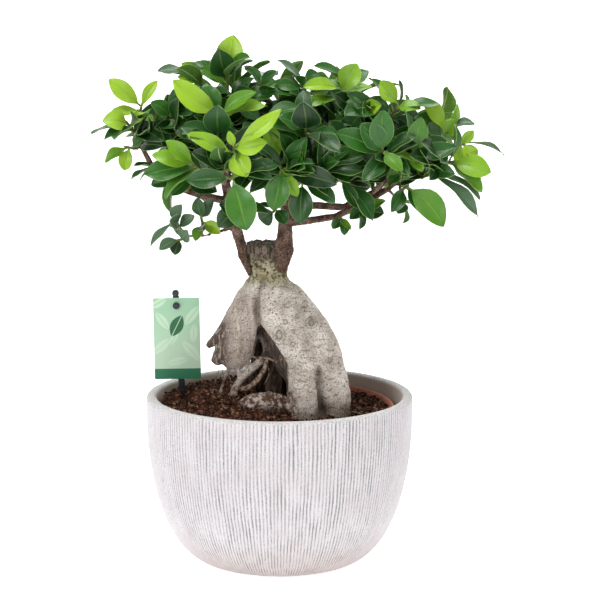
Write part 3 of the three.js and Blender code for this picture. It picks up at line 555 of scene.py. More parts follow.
# %% [markdown]
# ## The bare roots
# The tree is grown from seed, and its swollen roots are lifted out of the soil when it is potted. They have
# melted into one another, with no seams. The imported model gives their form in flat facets. Its copy is turned
# into an even skin by a voxel remesh, relaxed so that the facets go, and pushed in and out by noise: broad lumps,
# level creases, and the round scars where side roots were cut off.

# %% An even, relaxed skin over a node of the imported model
def skin_over(node, voxel, relaxing):
    shape = bmesh.new()
    shape.from_mesh(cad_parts[node].data)
    bmesh.ops.remove_doubles(shape, verts=shape.verts, dist=1e-5)
    shape = bmesh_of(finished(mesh_of(shape), "REMESH", mode="VOXEL", voxel_size=voxel * MM))
    for _ in range(relaxing):
        bmesh.ops.smooth_vert(
            shape, verts=shape.verts, factor=0.5, use_axis_x=True, use_axis_y=True, use_axis_z=True
        )
    shape.normal_update()
    return shape


def bmesh_of(mesh):
    shape = bmesh.new()
    shape.from_mesh(mesh)
    return shape


# %% Scars and creases on the bark
SCARS = [  # place in millimetres, half width, half height
    ((-0.3, -25.7, 180.2), 3.6, 5.2),
    ((23.9, -22.6, 188.9), 3.4, 3.0),
    ((10.2, -29.9, 174.1), 2.6, 2.4),
    ((-16.5, -12.5, 232.0), 2.4, 3.0),
    ((8.0, -22.0, 186.5), 2.0, 1.8),
    ((38.2, -28.1, 161.5), 2.4, 1.6),
]


def scar_relief(co):
    """How far the scars lift the bark here, in millimetres, and how dark their rings are."""
    lift = shade = 0
    for (x, y, z), wide, tall in SCARS:
        away = math.sqrt(((co.x / MM - x) / wide) ** 2 + ((co.y / MM - y) / wide / 1.3) ** 2 + ((co.z / MM - z) / tall) ** 2)
        if away < 2.2:
            lift += 0.9 * math.exp(-(((away - 1) / 0.3) ** 2)) - 0.9 * math.exp(-((away / 0.55) ** 2))
            shade += 0.8 * math.exp(-(((away - 0.62) / 0.2) ** 2)) + 0.5 * math.exp(-(((away - 1.35) / 0.15) ** 2))
    return lift, shade


CREASES = [  # points in millimetres along a crease, its half width and its depth
    ([(-12, -13, 222), (-15.4, -14.3, 212), (-17.2, -16.6, 198), (-14.4, -14, 184), (-14, -10, 168)], 2.1, 2.9),
    ([(29.8, -34, 154), (30.6, -36, 144), (31.3, -37, 135), (33.1, -37, 120)], 3.1, 4.4),
    ([(15, -24, 196), (20, -30, 180), (24, -34, 166)], 5.0, 0.8),
    ([(-24, -20, 190), (-28, -21, 176), (-29, -20, 164)], 3.0, 0.9),
]


def crease_depth(co):
    """How far the bark folds in here, in millimetres, and how much painted shade the fold gets in the colour."""
    depth = shade = 0
    for points, wide, deep in CREASES:
        away = 1e9
        for a, b in zip(points, points[1:]):
            a, b = Vector(a), Vector(b)
            share = min(1, max(0, (co / MM - a).dot(b - a) / (b - a).length_squared))
            away = min(away, (co / MM - a - (b - a) * share).length)
        if away < 3 * wide:
            fold = math.exp(-((away / wide) ** 2))
            depth += deep * fold
            shade += fold * min(0.8, deep / 4)
    return depth, shade


def hollow_share(co):
    """How far this place lies in the shaded hollow between the hanging root and the thick leg, from 0 to 1."""
    x, y, z = co / MM
    drop = 187 - z
    right = min(6.9, -14 + 0.72 * drop)
    left = -15.5 - 0.16 * drop if z > 165 else -18.7 + 0.8 * (165 - z)
    within = climb(right - x, -1, 1.2) * climb(x - left, -1.5, 1)
    return within * climb(drop, -3, 5) * climb(-y, 2, 8) * climb(z, 116, 122)


def bare_roots():
    shape = skin_over("root_trunk", 1.0, 7)
    joint = [vert for vert in shape.verts if vert.co.y > 5 * MM and 188 * MM < vert.co.z < 218 * MM]
    for _ in range(70):
        bmesh.ops.smooth_vert(
            shape, verts=joint, factor=0.5, use_axis_x=True, use_axis_y=True, use_axis_z=True
        )
    shape.normal_update()
    scar = shape.verts.layers.float.new("scar")
    hollow = shape.verts.layers.float.new("hollow")
    moves = []
    for vert in shape.verts:
        co = vert.co
        lift, shade = scar_relief(co)
        fold, dark = crease_depth(co)
        shaded = hollow_share(co)
        fold += shaded * 3.2 * climb(co.z, 158 * MM, 168 * MM)
        broad = 1.1 * rough(co, 17, 17, 24) + 0.5 * rough(co, 7, 7, 9)
        crease = -0.55 * max(0, 0.35 - abs(rough(co, 14, 14, 3.2))) / 0.35 * climb(rough(co, 11, 11, 11), -0.1, 0.4)
        rugged = climb(co.z, 205 * MM, 232 * MM) + climb(co.z, 142 * MM, 132 * MM) if co.x < 14 * MM or co.z > 0.2 else 0
        fine = (0.25 + 0.5 * rugged) * rough(co, 2.2, 2.2, 2.0) + 0.5 * rugged * rough(co, 4.5, 4.5, 4)
        bark = climb(co.z, 230 * MM, 238 * MM) * (1.1 * rough(co, 2.6, 2.6, 9) - 0.4)
        moves.append(vert.normal * (broad + crease + fine + lift + bark - fold + 0.3) * MM)
        vert[scar] = shade + dark
        vert[hollow] = shaded
    for vert, move in zip(shape.verts, moves):
        vert.co += move
    return mesh_of(shape)


# %% [markdown]
# Fig bark is pale grey-beige with corky dark specks. It turns olive at the neck, where it was shaded, and almost
# black on the cut top. Painted shade darkens the brown root behind, the hollow and the creases; peat stains the feet.

# %% The bark's finish
def fig_bark():
    finish = Finish("fig_bark", Specular_IOR_Level=0.3)
    place = finish.place()
    x, y, z = (finish.part(place, axis) for axis in "XYZ")
    blotch = finish.noise(11, detail=5.0, roughness=0.6)
    grain = finish.noise(1.3, detail=6.0, roughness=0.7)
    rings = finish.noise(2.4, finish.stretched(0.35, 0.35, 1.5), detail=4.0)
    pale = finish.mix(finish.between(blotch, 0.3, 0.7), rgb(206, 192, 179), rgb(252, 243, 234))
    pale = finish.mix(finish.between(grain, 0.5, 0.36) * 0.8, pale, rgb(118, 102, 88))
    pale = finish.mix(finish.between(rings, 0.43, 0.36) * 0.6, pale, rgb(110, 94, 80))
    pale = finish.mix(finish.between(grain, 0.6, 0.7) * 0.6, pale, rgb(234, 226, 216))
    left = finish.between(x, -6 * MM, -20 * MM) * finish.between(z, 215 * MM, 200 * MM) * 0.55
    strands = finish.noise(2.2, finish.stretched(1, 1, 0.22), detail=5.0, roughness=0.65)
    pale = finish.mix(left * 0.8, pale, finish.mix(finish.between(strands, 0.4, 0.62), rgb(126, 103, 88), rgb(208, 192, 177)))
    grain2 = finish.noise(0.75, detail=3.0, roughness=0.7)
    pale = finish.mix(finish.between(grain2, 0.5, 0.36) * 0.45, pale, rgb(112, 94, 78))
    pale = finish.mix(finish.between(grain2, 0.6, 0.7) * 0.5, pale, rgb(246, 240, 232))
    # Painted shade in the hollow between the hanging root and the leg: dark brown, streaked with lighter strings.
    painted_hollow_shade = finish.mix(finish.between(strands, 0.46, 0.62), rgb(34, 25, 21), rgb(118, 96, 82))
    pale = finish.mix(finish.value("hollow") * 0.93, pale, painted_hollow_shade)
    singed = finish.between(x, -32 * MM, -44 * MM) * finish.between(z, 200 * MM, 184 * MM)
    pale = finish.mix(singed * finish.between(strands, 0.38, 0.54) * 0.9, pale, rgb(70, 50, 39))
    olive = finish.between(z, 211 * MM, 223 * MM) * finish.between(blotch + grain, 0.7, 1.05) * 0.85
    pale = finish.mix(olive, pale, rgb(150, 142, 88))
    mottle = finish.between(z, 209 * MM, 226 * MM) * finish.between(finish.noise(2.6, detail=5.0), 0.53, 0.42)
    pale = finish.mix(mottle * 0.9, pale, rgb(52, 42, 32))
    lichen = finish.between(z, 210 * MM, 224 * MM) * finish.between(finish.noise(1.8, detail=4.0), 0.58, 0.66)
    pale = finish.mix(lichen * 0.7, pale, rgb(206, 204, 178))
    # Painted shade on the root behind, under the neck: dark brown.
    behind = finish.between(y, 4 * MM, 16 * MM) * finish.between(z, 205 * MM, 185 * MM)
    pale = finish.mix(behind * 0.8, pale, rgb(76, 60, 46))
    cut = finish.between(z + grain * 0.014, 238 * MM, 247 * MM)
    wood = finish.mix(finish.between(strands, 0.4, 0.6), rgb(28, 21, 18), rgb(132, 114, 104))
    pale = finish.mix(cut * 0.92, pale, wood)
    union = finish.between(z + blotch * 0.02, 236 * MM, 242 * MM) * finish.between(x - blotch * 0.02, -14 * MM, -9 * MM)
    pale = finish.mix(union * 0.85, pale, finish.mix(finish.between(grain, 0.4, 0.6), rgb(52, 34, 28), rgb(140, 100, 84)))
    foot = finish.between(z + blotch * 0.016, 142 * MM, 128 * MM)
    pale = finish.mix(foot * 0.55, pale, rgb(104, 78, 60))
    stain = finish.between(z + blotch * 0.02, 154 * MM, 134 * MM)
    pale = finish.mix(stain * finish.between(grain, 0.46, 0.58) * 0.8, pale, rgb(60, 42, 30))
    crust = finish.between(z, 141 * MM, 137 * MM) * finish.between(x, 16 * MM, 8 * MM) * finish.between(y, -16 * MM, -22 * MM)
    patch = finish.between(finish.noise(4, detail=6.0, roughness=0.75), 0.45, 0.6)
    pale = finish.mix(crust, pale, finish.mix(patch, rgb(84, 58, 46), rgb(208, 192, 179)))
    # The scar rings are the bark's own colour; the creases in the same value get painted shade.
    pale = finish.mix(finish.value("scar") * 0.85, pale, rgb(76, 60, 46))
    specks = finish.pits(2.6)
    chosen = finish.between(finish.noise(5), 0.46, 0.54)
    pale = finish.mix(finish.between(specks, 0.26, 0.14) * chosen * 0.85, pale, rgb(58, 46, 34))
    relief = grain * 0.9 + grain2 * 0.5 + rings * 0.7 - finish.between(specks, 0.3, 0.1) * 0.4
    return finish.done(pale, 0.8, relief, 1.1)


hand_in("bare_roots", bare_roots(), "root_trunk", "root_bark", fig_bark())

# %% [markdown]
# ## The grafted crowns
# Two scions of a small-leaved fig were set into the top of the root. Their wood is browner and rougher than the
# root's. The same skin is laid over their branches, with smaller voxels, because the ends are only as thick as
# a matchstick.

# %% The branches and their finish
def branches(node):
    shape = skin_over(node, 0.7, 3)
    moves = []
    for vert in shape.verts:
        co = vert.co
        base = climb(co.z, 264 * MM, 250 * MM)
        lift = (0.35 + 0.6 * base) * rough(co, 5, 5, 7) + (0.16 + 0.3 * base) * rough(co, 1.9, 1.9, 1.9) + 0.16 - 0.6 * base
        lift += 1.5 * base * rough(co, 3.4, 3.4, 8)
        moves.append(vert.normal * lift * MM)
    for vert, move in zip(shape.verts, moves):
        vert.co += move
    return mesh_of(shape)


def scion_bark():
    finish = Finish("scion_bark", Specular_IOR_Level=0.25)
    blotch = finish.noise(7, detail=5.0)
    grain = finish.noise(0.9, detail=5.0, roughness=0.7)
    colour = finish.mix(finish.between(blotch, 0.35, 0.65), rgb(84, 56, 46), rgb(162, 132, 118))
    colour = finish.mix(finish.between(grain, 0.52, 0.4) * 0.85, colour, rgb(46, 32, 27))
    low = finish.between(finish.part(finish.place(), "Z") + blotch * 0.02, 266 * MM, 252 * MM)
    colour = finish.mix(low * 0.75, colour, finish.mix(finish.between(grain, 0.42, 0.6), rgb(38, 27, 23), rgb(122, 96, 80)))
    return finish.done(colour, 0.85, grain, 1.2)


scion = scion_bark()
hand_in("left_scion", branches("graft_branch_left"), "graft_branch_left", "graft_bark", scion)
hand_in("right_scion", branches("graft_branch_right"), "graft_branch_right", "graft_bark", scion)

# %% [markdown]
# ## The leafy shoots
# Each shoot is a twig with its leaves. The list gives, for each shoot, its crown, the foot and tip of its twig,
# its leaves one by one, how many more leaves fill it, their length and its tone. A leaf is its place along the
# twig in tenths, the way to its tip, its width, how far it faces the front in tenths, and its tone. Tone runs
# from 0 for dark old leaves to 9 for fresh lime ones, and is negative for greyish ones. All are millimetres.

# %% The list of shoots
SHOOTS = [
    ["left", [-39, -7, 362], [-40, -8, 374], [[10, 6, -2, 31, 22, 9, 9], [8, -5, -14, 24, 22, 10, 1],
    [6, 20, 2, 16, 13, 2, -3], [3, -16, 4, 20, 13, 4, 4], [5, -20, -6, 12, 14, 6, 4]], 2, 38, 3],
    ["left", [-50, -5, 360], [-58, -4, 367], [[10, -34, 4, 10, 14, 1, -3], [9, -16, -4, 17, 13, 4, 8],
    [7, -20, -8, 8, 12, 4, 7]], 3, 36, 3],
    ["left", [-42, -30, 338], [-44, -40, 349], [[10, -34, -8, 25, 20, 8, 9], [9, -12, -4, 22, 17, 7, 4],
    [5, -32, -10, 10, 17, 7, 1], [8, 27, -4, 18, 15, 5, 6], [6, 34, -4, 10, 12, 4, 8]], 1, 36, 3],
    ["left", [-45, -42, 325], [-45, -50, 333], [[10, 0, -10, 24, 23, 10, 2], [8, -28, -6, 9, 15, 7, 1],
    [5, 24, -8, -8, 16, 7, 3], [4, 24, -4, 12, 13, 5, 3]], 1, 34, 2],
    ["left", [-36, -58, 311], [-33, -66, 327], [[10, 35, -6, 28, 13, 8, 9], [9, 23, -12, 5, 16, 7, 9],
    [8, 10, -10, -18, 18, 9, 9], [7, -33, -8, 15, 14, 8, 8], [10, -4, -5, 12, 7, 8, 9]], 1, 34, 4],
    ["left", [-55, -48, 304], [-63, -55, 313], [[10, -30, -6, 8, 14, 7, 8], [8, -37, -8, -5, 18, 7, 4],
    [10, -20, -6, 18, 13, 7, 7], [5, -20, -8, -18, 15, 7, 3]], 2, 36, 4],
    ["left", [-36, -63, 304], [-34, -73, 305], [[10, 10, -10, -37, 25, 10, 4], [7, 34, -6, 9, 12, 1, 1],
    [6, -33, -8, -1, 16, 8, 2]], 1, 30, 3],
    ["right", [4, -46, 306], [1, -55, 310], [[10, -6, -8, -30, 20, 10, 4], [9, 12, -3, -20, 12, 8, 8],
    [7, 40, -6, -10, 18, 9, 0], [5, -22, 2, 14, 14, 5, 2]], 4, 34, 1],
    ["right", [17, -36, 297], [17, -46, 299], [[10, -2, -8, -30, 20, 10, 1], [6, 24, -6, -14, 14, 6, 1]], 1, 32, 1],
    ["left", [-33, -14, 274], [-32, -22, 276], [[10, -14, -6, -13, 17, 10, 0], [8, -13, -8, 4, 15, 9, 0]], 1, 24, 1],
    ["right", [-2, -12, 276], [-4, -19, 274], [[10, -15, -6, -9, 17, 10, 0], [7, 8, -8, -10, 12, 8, 1]], 1, 24, 1],
    ["left", [-72, -21, 257], [-79, -24, 266], [[10, -18, -4, -18, 8, 4, -3], [9, 5, -4, 15, 11, 7, -3],
    [7, -5, -12, 5, 16, 9, -1], [5, 12, -6, 10, 10, 7, -2]], 1, 20, -1],
    ["left", [-70, -24, 255], [-75, -27, 253], [[10, -15, -4, -7, 10, 7, -3], [9, -4, -4, -11, 11, 7, 0],
    [7, 5, -9, 8, 14, 9, -2]], 1, 18, -2],
    ["left", [-58, -17, 260], [-59, -19, 269], [[10, -2, -6, 16, 11, 8, 1], [9, 9, -4, 15, 11, 7, -1],
    [6, 14, -8, -8, 11, 8, 9], [3, -5, -6, -11, 9, 8, 5]], 1, 20, 0],
    ["left", [-107, -4, 341], [-104, -5, 351], [[10, -24, -3, 21, 15, 8, 9], [9, 13, -2, 21, 9, 8, 9],
    [7, -22, -6, -2, 10, 6, 9], [6, -26, 6, -5, 9, 0, -3]], 1, 28, 6],
    ["left", [-110, -9, 332], [-113, -13, 338], [[10, -19, -8, 4, 19, 8, 9], [8, 13, -6, 10, 10, 6, 9],
    [7, -29, -4, -4, 9, 2, -3], [5, -20, -6, -8, 12, 5, 4]], 1, 26, 4],
    ["left", [-107, -9, 320], [-113, -11, 321], [[10, -18, -4, -11, 10, 5, 6], [9, -4, -5, -17, 12, 8, 9],
    [6, 10, -8, 10, 10, 6, 3]], 1, 22, 2],
    ["left", [-97, -12, 326], [-97, -15, 338], [[10, 20, -4, 12, 16, 6, 3], [9, 23, -6, 0, 12, 3, 3],
    [8, -2, -6, 19, 13, 6, 3], [6, 18, -10, -10, 14, 7, 2]], 1, 30, 2],
    ["left", [-78, -16, 338], [-83, -18, 347], [[10, 16, -4, 18, 16, 5, 2], [9, 24, -6, 6, 17, 6, 2],
    [7, -14, -8, 12, 13, 6, 3], [5, 18, -12, -12, 16, 7, 3]], 2, 34, 2],
    ["left", [-90, -12, 304], [-94, -16, 306], [[10, -15, -4, 2, 8, 2, 1], [8, -18, -2, -8, 7, 2, 2],
    [6, 18, -10, -4, 13, 6, 1]], 2, 26, 1],
    ["left", [-68, -13, 291], [-71, -20, 296], [[10, -24, -8, -2, 16, 6, 2], [8, 24, -12, -5, 16, 8, 1],
    [6, 12, -8, 14, 14, 6, 1]], 3, 32, 1],
    ["left", [-70, 30, 316], [-78, 38, 322], [], 7, 44, 2],
    ["left", [-50, 68, 330], [-50, 80, 336], [], 7, 44, 3],
    ["left", [-36, 34, 346], [-34, 44, 357], [], 7, 42, 3],
    ["left", [-64, 56, 304], [-74, 65, 303], [], 8, 44, 2],
    ["left", [-60, -6, 338], [-61, -5, 350], [], 7, 42, 3],
    ["left", [-15, 0, 354], [-14, -1, 366], [[10, -12, -4, 14, 11, 4, 3], [9, 12, -2, 13, 12, 6, 2],
    [7, 24, -8, -2, 12, 5, 3], [5, -20, -10, -4, 14, 6, 3]], 2, 34, 3],
    ["left", [-15, -24, 338], [-12, -36, 343], [[10, 28, -8, 10, 14, 5, 3], [8, -18, -8, 12, 13, 6, 3],
    [9, 12, -10, -24, 14, 8, 7]], 4, 36, 2],
    ["right", [-17, -20, 312], [-17, -32, 315], [[10, 30, -10, 4, 18, 8, 1], [8, 12, -14, -22, 18, 9, 1]], 6, 36, 1],
    ["right", [20, -3, 361], [17, -4, 367], [[10, -19, -2, 19, 12, 4, -3], [9, 14, -6, 8, 13, 5, 3],
    [7, -20, -8, 2, 14, 6, 3], [6, 16, -10, -4, 16, 6, 2], [8, 2, -8, 8, 14, 6, 3],
    [4, -8, -14, -18, 18, 8, 2]], 0, 32, 3],
    ["right", [20, -34, 327], [19, -45, 338], [[9, -2, -12, 22, 24, 10, 0], [10, -20, -8, 10, 14, 7, 2],
    [6, 22, -8, 4, 11, 2, 3]], 5, 38, 1],
    ["right", [45, -8, 352], [46, -10, 364], [[9, 12, -3, 21, 19, 9, 8], [10, -30, -6, 3, 13, 6, 8],
    [8, 24, -4, 4, 11, 4, 7], [6, -28, -10, -6, 12, 6, 7]], 3, 34, 3],
    ["right", [62, -15, 341], [64, -22, 348], [[10, -15, -6, 8, 12, 3, -3], [8, 12, -8, 8, 14, 6, 8],
    [6, -22, -10, -3, 15, 6, 2]], 5, 38, 2],
    ["right", [78, -34, 314], [76, -45, 321], [[9, 0, -6, 32, 20, 10, 4], [8, -17, -8, 23, 20, 9, 2],
    [6, -36, -10, 18, 18, 9, 3], [10, 14, -10, -13, 13, 9, 5], [10, 23, -6, -7, 10, 3, 7]], 4, 34, 1],
    ["right", [95, -28, 314], [98, -39, 319], [[10, 6, -8, 28, 17, 10, 5], [9, 33, -6, 6, 15, 6, 2],
    [8, 8, -10, -11, 13, 9, 6]], 4, 34, 2],
    ["right", [84, -8, 345], [89, -9, 353], [[10, -14, -2, 18, 15, 9, 8], [8, 1, -2, 20, 7, 2, 1],
    [7, 18, -8, 0, 14, 6, 7], [5, -20, -8, -5, 14, 6, 2]], 2, 32, 3],
    ["right", [120, 2, 328], [126, -3, 331], [[10, -20, -4, 27, 14, 7, 9], [10, 8, 2, 22, 7, 3, 7],
    [10, 21, -4, 7, 11, 2, -3], [6, 8, -8, 12, 14, 7, 7], [5, -16, -10, 4, 16, 7, 2],
    [4, -18, -8, 14, 16, 6, 3]], 0, 26, 3],
    ["right", [130, -10, 320], [138, -11, 324], [[10, 5, -6, -14, 12, 8, 9], [9, 10, -4, -11, 11, 7, 9],
    [8, -3, -8, -16, 12, 8, 8], [10, 31, 0, -9, 8, 1, -2], [7, 10, -2, 11, 9, 6, 8]], 0, 30, 6],
    ["right", [121, -26, 310], [127, -30, 312], [[10, 30, -6, -7, 20, 8, 7], [9, 24, -8, -21, 13, 5, 6],
    [6, -10, -10, 14, 13, 7, 4]], 3, 30, 2],
    ["right", [106, -29, 300], [113, -33, 304], [[10, 36, -4, -19, 9, 3, -2], [9, 35, -8, -31, 12, 5, -2],
    [4, 22, -10, 4, 14, 6, 3], [6, -20, -8, 4, 14, 7, 4]], 1, 28, 3],
    ["right", [90, -32, 291], [94, -41, 295], [[10, 27, -14, -28, 22, 9, 5], [8, 14, -10, -20, 16, 8, 1],
    [5, -18, -8, -2, 12, 6, 4]], 3, 30, 2],
    ["right", [88, -16, 283], [94, -18, 281], [[10, 22, -4, -6, 11, 2, 0], [7, -4, -8, -9, 12, 8, 1]], 2, 24, 1],
    ["right", [60, -20, 275], [64, -23, 275], [[10, 14, -6, -2, 13, 8, 1], [8, 16, -6, 8, 9, 7, 5],
    [6, -10, -8, -6, 10, 8, 2]], 1, 22, 2],
    ["right", [45, -18, 270], [46, -20, 268], [[10, 3, -3, -12, 8, 7, 2], [6, -6, -3, -8, 8, 7, 2],
    [4, 8, -4, -9, 6, 6, 6]], 0, 12, 2],
    ["right", [42, -30, 298], [45, -38, 301], [[10, 12, -6, -22, 11, 6, 2], [8, -22, -8, 2, 15, 7, 1],
    [6, 18, -10, 6, 14, 6, 2]], 5, 38, 1],
    ["right", [46, -16, 322], [48, -28, 325], [[10, 24, -12, -18, 18, 8, 1], [9, -26, -12, -8, 18, 8, 1],
    [8, -8, -16, -26, 20, 9, 1], [6, -10, -16, 20, 18, 8, 2]], 5, 40, 1],
    ["right", [38, 76, 327], [40, 88, 333], [], 7, 44, 3],
    ["right", [64, 54, 322], [70, 64, 328], [], 8, 42, 2],
    ["right", [94, 66, 314], [102, 76, 318], [], 7, 44, 2],
    ["right", [110, 28, 324], [119, 34, 328], [], 7, 38, 4],
    ["right", [4, 44, 338], [2, 54, 349], [], 7, 42, 3],
    ["right", [54, 10, 348], [57, 14, 358], [], 7, 40, 4],
]
CROWNS = {"left": "graft_branch_left", "right": "graft_branch_right"}

# %% [markdown]
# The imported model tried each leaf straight, then bent it forwards or back, then shortened it, until it was clear
# of its neighbours. The same tries are worked out here. The right one ends exactly on a corner of the packed
# shoot, which a search among its corners finds, and a leaf that found no room in the model is left out.

# %% The leaves that a shoot wants
def chance_of(i, j):
    v = math.sin(i * 12.9898 + j * 78.233) * 43758.5453
    return v - math.floor(v)


def leaves_wanted(index):
    """The place on the twig, the way to the tip, the width, the facing and the tone of each leaf."""
    _, foot, tip, drawn, extra, reach, tone = SHOOTS[index]
    leaves = [(p / 10, Vector((dx, dy, dz)), width, front, leaf_tone) for p, dx, dy, dz, width, front, leaf_tone in drawn]
    along = (Vector(tip) - Vector(foot)).normalized()
    guide = Vector((0, 0, 1)) if abs(along.z) < 0.9 else Vector((1, 0, 0))
    across = guide.cross(along).normalized()
    other = along.cross(across)
    for k in range(extra):
        turn = 2.4 * k + 6.283 * chance_of(index, 50)
        lean = 0.9 + 0.5 * chance_of(index, k)
        size = reach * (0.8 + 0.3 * chance_of(index, k + 20))
        out = along * math.cos(lean) + (across * math.cos(turn) + other * math.sin(turn)) * math.sin(lean)
        leaves.append((0.25 + 0.7 * k / extra, out * size, size * 0.45, 2, tone))
    return leaves


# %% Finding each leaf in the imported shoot
BENDS = (0, 1, -1, 2, -2, 3, -3)


def bent(way, k):
    size = way.length
    moved = way + Vector((0, BENDS[k % 7] * 0.16 * size, 0))
    return moved.normalized() * size * (1 if k < 7 else 0.72)


def corners_of(node):
    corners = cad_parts[node].data.vertices
    tree = kdtree.KDTree(len(corners))
    for i, corner in enumerate(corners):
        tree.insert(corner.co / MM, i)
    tree.balance()
    return tree


def way_in_model(tree, base, way):
    for k in range(14):
        if tree.find(base + bent(way, k))[2] < 0.02:
            return bent(way, k)
    return None


# %% [markdown]
# A fig leaf is a leathery oval on a short stalk, with a blunt point. It folds a little along its midrib, arches
# towards its tip, and its edges ripple. One flat leaf is cut from a grid and thickened by an extrusion, and its
# map runs along and across the blade. Each leaf is a copy of it, bent to its own line.

# %% The pattern of a leaf
STALK = 0.12
ALONG = (0, 0.07, STALK, 0.17, 0.25, 0.36, 0.48, 0.6, 0.71, 0.81, 0.9, 0.965, 1)


def blade_width(s):
    """Half the width of the blade at this share of its length, 1 at the widest."""
    q = max(0, (s - STALK) / (1 - STALK))
    return q**0.85 * max(0, 1 - q) ** 0.78 / 0.3234


def leaf_pattern():
    shape = bmesh.new()
    bmesh.ops.create_grid(shape, x_segments=len(ALONG) - 1, y_segments=4, size=0.5)
    places = shape.verts.layers.float_vector.new("place")
    for vert in shape.verts:
        vert[places] = (ALONG[round((vert.co.x + 0.5) * (len(ALONG) - 1))], vert.co.y * 2, 0)
    upper = shape.faces[:]
    shell = bmesh.ops.extrude_face_region(shape, geom=upper, use_keep_orig=True)["geom"]
    for vert in (part for part in shell if isinstance(part, bmesh.types.BMVert)):
        vert.co.z -= 0.1
        vert[places] = (vert[places][0], vert[places][1], 1)
    bmesh.ops.recalc_face_normals(shape, faces=shape.faces)
    grid = shape.loops.layers.uv.new("blade")
    for face in shape.faces:
        face.material_index = 1 if face.normal.z < -0.5 else 0
        face.smooth = True
        for loop in face.loops:
            loop[grid].uv = (loop.vert[places][0], loop.vert[places][1] * 0.5 + 0.5)
    mesh = bpy.data.meshes.new("leaf_pattern")
    shape.to_mesh(mesh)
    shape.free()
    return mesh


LEAF = leaf_pattern()
LEAF_PLACES = [tuple(part.vector) for part in LEAF.attributes["place"].data]
print("leaf pattern", len(LEAF.polygons), "faces")


# %% Bending the pattern to one leaf
def leaf_bent(base, way, width, front, tone, seed):
    chance = random.Random(seed)
    size = way.length
    along = way.normalized()
    outward = Vector((base.x, base.y, 90)).normalized() * (1 - front / 10)
    towards = outward + Vector((0, -0.97, 0.24)) * (front / 10)
    side = along.cross(towards).normalized()
    face = side.cross(along)
    half = width / 2 * 0.92
    arch = chance.uniform(0.06, 0.12)
    fold = chance.uniform(0.22, 0.6)
    twist = chance.gauss(0, 0.25)
    ripple = chance.uniform(0.015, 0.05)
    phase = chance.uniform(0, 6.28)
    sway = chance.gauss(0, 0.035)
    points = []
    for s, c, under in LEAF_PLACES:
        wide = max(half * blade_width(s), (0.75 if s < 0.13 else 0.0) * (1 if s > 0.02 else 0.8))
        thick = mixed(1.2, 0.42, climb(s, 0.04, 0.2)) * (1 if s < 1 else 0.6)
        lift = arch * size * 4 * s * (1 - s) + fold * abs(c) ** 1.4 * wide
        lift += ripple * size * abs(c) ** 2 * math.sin(9 * s + phase + (2.0 if c > 0 else 0)) * climb(s, 0.1, 0.4)
        angle = twist * (s - STALK)
        offset = side * (c * wide * math.cos(angle) + sway * size * math.sin(math.pi * s))
        offset += face * (lift + c * wide * math.sin(angle) + (0.5 - under) * thick)
        points.append((base + along * (s * size) + offset) * MM)
    mesh = LEAF.copy()
    mesh.vertices.foreach_set("co", [v for point in points for v in point])
    for name, value in (("tone", tone / 9), ("pick", chance.random())):
        mesh.attributes.new(name, "FLOAT", "POINT").data.foreach_set("value", [value] * len(points))
    return mesh


# %% Twigs
def rod_into(shape, stations, sides, index=0):
    """A round rod through (point, radius) stations, in metres, drawn out from a disc."""
    ways = []
    for k, (point, _) in enumerate(stations):
        before = stations[max(0, k - 1)][0]
        after = stations[min(len(stations) - 1, k + 1)][0]
        ways.append((after - before).normalized())
    turn = Vector((0, 0, 1)).rotation_difference(ways[0]).to_matrix().to_4x4()
    place = Matrix.Translation(stations[0][0]) @ turn
    disc = bmesh.ops.create_circle(shape, cap_ends=True, segments=sides, radius=stations[0][1], matrix=place)
    cap = disc["verts"][0].link_faces[0]
    faces = [cap]
    for k in range(1, len(stations)):
        turn = ways[k - 1].rotation_difference(ways[k]).to_matrix().to_4x4() @ turn
        after = Matrix.Translation(stations[k][0]) @ turn
        grow = Matrix.Scale(stations[k][1] / stations[k - 1][1], 4)
        shell = bmesh.ops.extrude_face_region(shape, geom=[cap], use_keep_orig=k == 1)["geom"]
        corners = [part for part in shell if isinstance(part, bmesh.types.BMVert)]
        cap = next(part for part in shell if isinstance(part, bmesh.types.BMFace))
        bmesh.ops.transform(shape, verts=corners, matrix=after @ grow @ place.inverted())
        place = after
        faces += [face for corner in corners for face in corner.link_faces]
    for face in set(face for face in faces if face.is_valid):
        face.smooth = True
        face.material_index = index


def twig_stations(index, base_of_twig):
    _, foot, tip, *_ = SHOOTS[index]
    foot, tip = Vector(foot), Vector(tip)
    along = (tip - foot).normalized()
    bow = along.orthogonal().normalized() * 0.7
    middle = (foot + tip) / 2 + bow
    joints = [(base_of_twig, 1.35), (foot, 1.25), (middle, 1.1), (tip, 0.95), (tip + along * 3, 0.8), (tip + along * 5, 0.15)]
    return [(point * MM, radius * MM) for point, radius in joints]


# %% One shoot: its leaves and its twig
def foot_on_branch(index, tree):
    """A point just outside the branch's own stub, which the twig grows from."""
    foot = Vector(SHOOTS[index][1])
    tip = Vector(SHOOTS[index][2])
    return foot - (tip - foot).normalized() * 0.6


def leafy_shoot(index):
    node = "leafy_shoot_%02d" % (index + 1)
    tree = corners_of(node)
    foot, tip = Vector(SHOOTS[index][1]), Vector(SHOOTS[index][2])
    shape = bmesh.new()
    kept = 0
    for k, (share, way, width, front, tone) in enumerate(leaves_wanted(index)):
        base = foot + (tip - foot) * share
        found = way_in_model(tree, base, way)
        if found is None:
            continue
        kept += 1
        shape.from_mesh(leaf_bent(base, found, width, front, tone, index * 40 + k))
    rod_into(shape, twig_stations(index, foot_on_branch(index, tree)), 8, index=2)
    mesh = bpy.data.meshes.new(node)
    bmesh.ops.recalc_face_normals(shape, faces=shape.faces)
    shape.to_mesh(mesh)
    shape.free()
    mesh.set_sharp_from_angle(angle=math.radians(50))
    return node, mesh, kept


# %% [markdown]
# The upper side of a leaf is dark and waxy, and a lime green when the leaf is young. A pale midrib runs down the
# middle, faint veins leave it at a slant, and the edge is a thin pale line. The lower side is greyer and dull.
# The pattern follows the blade, so it reads the leaf's own map.

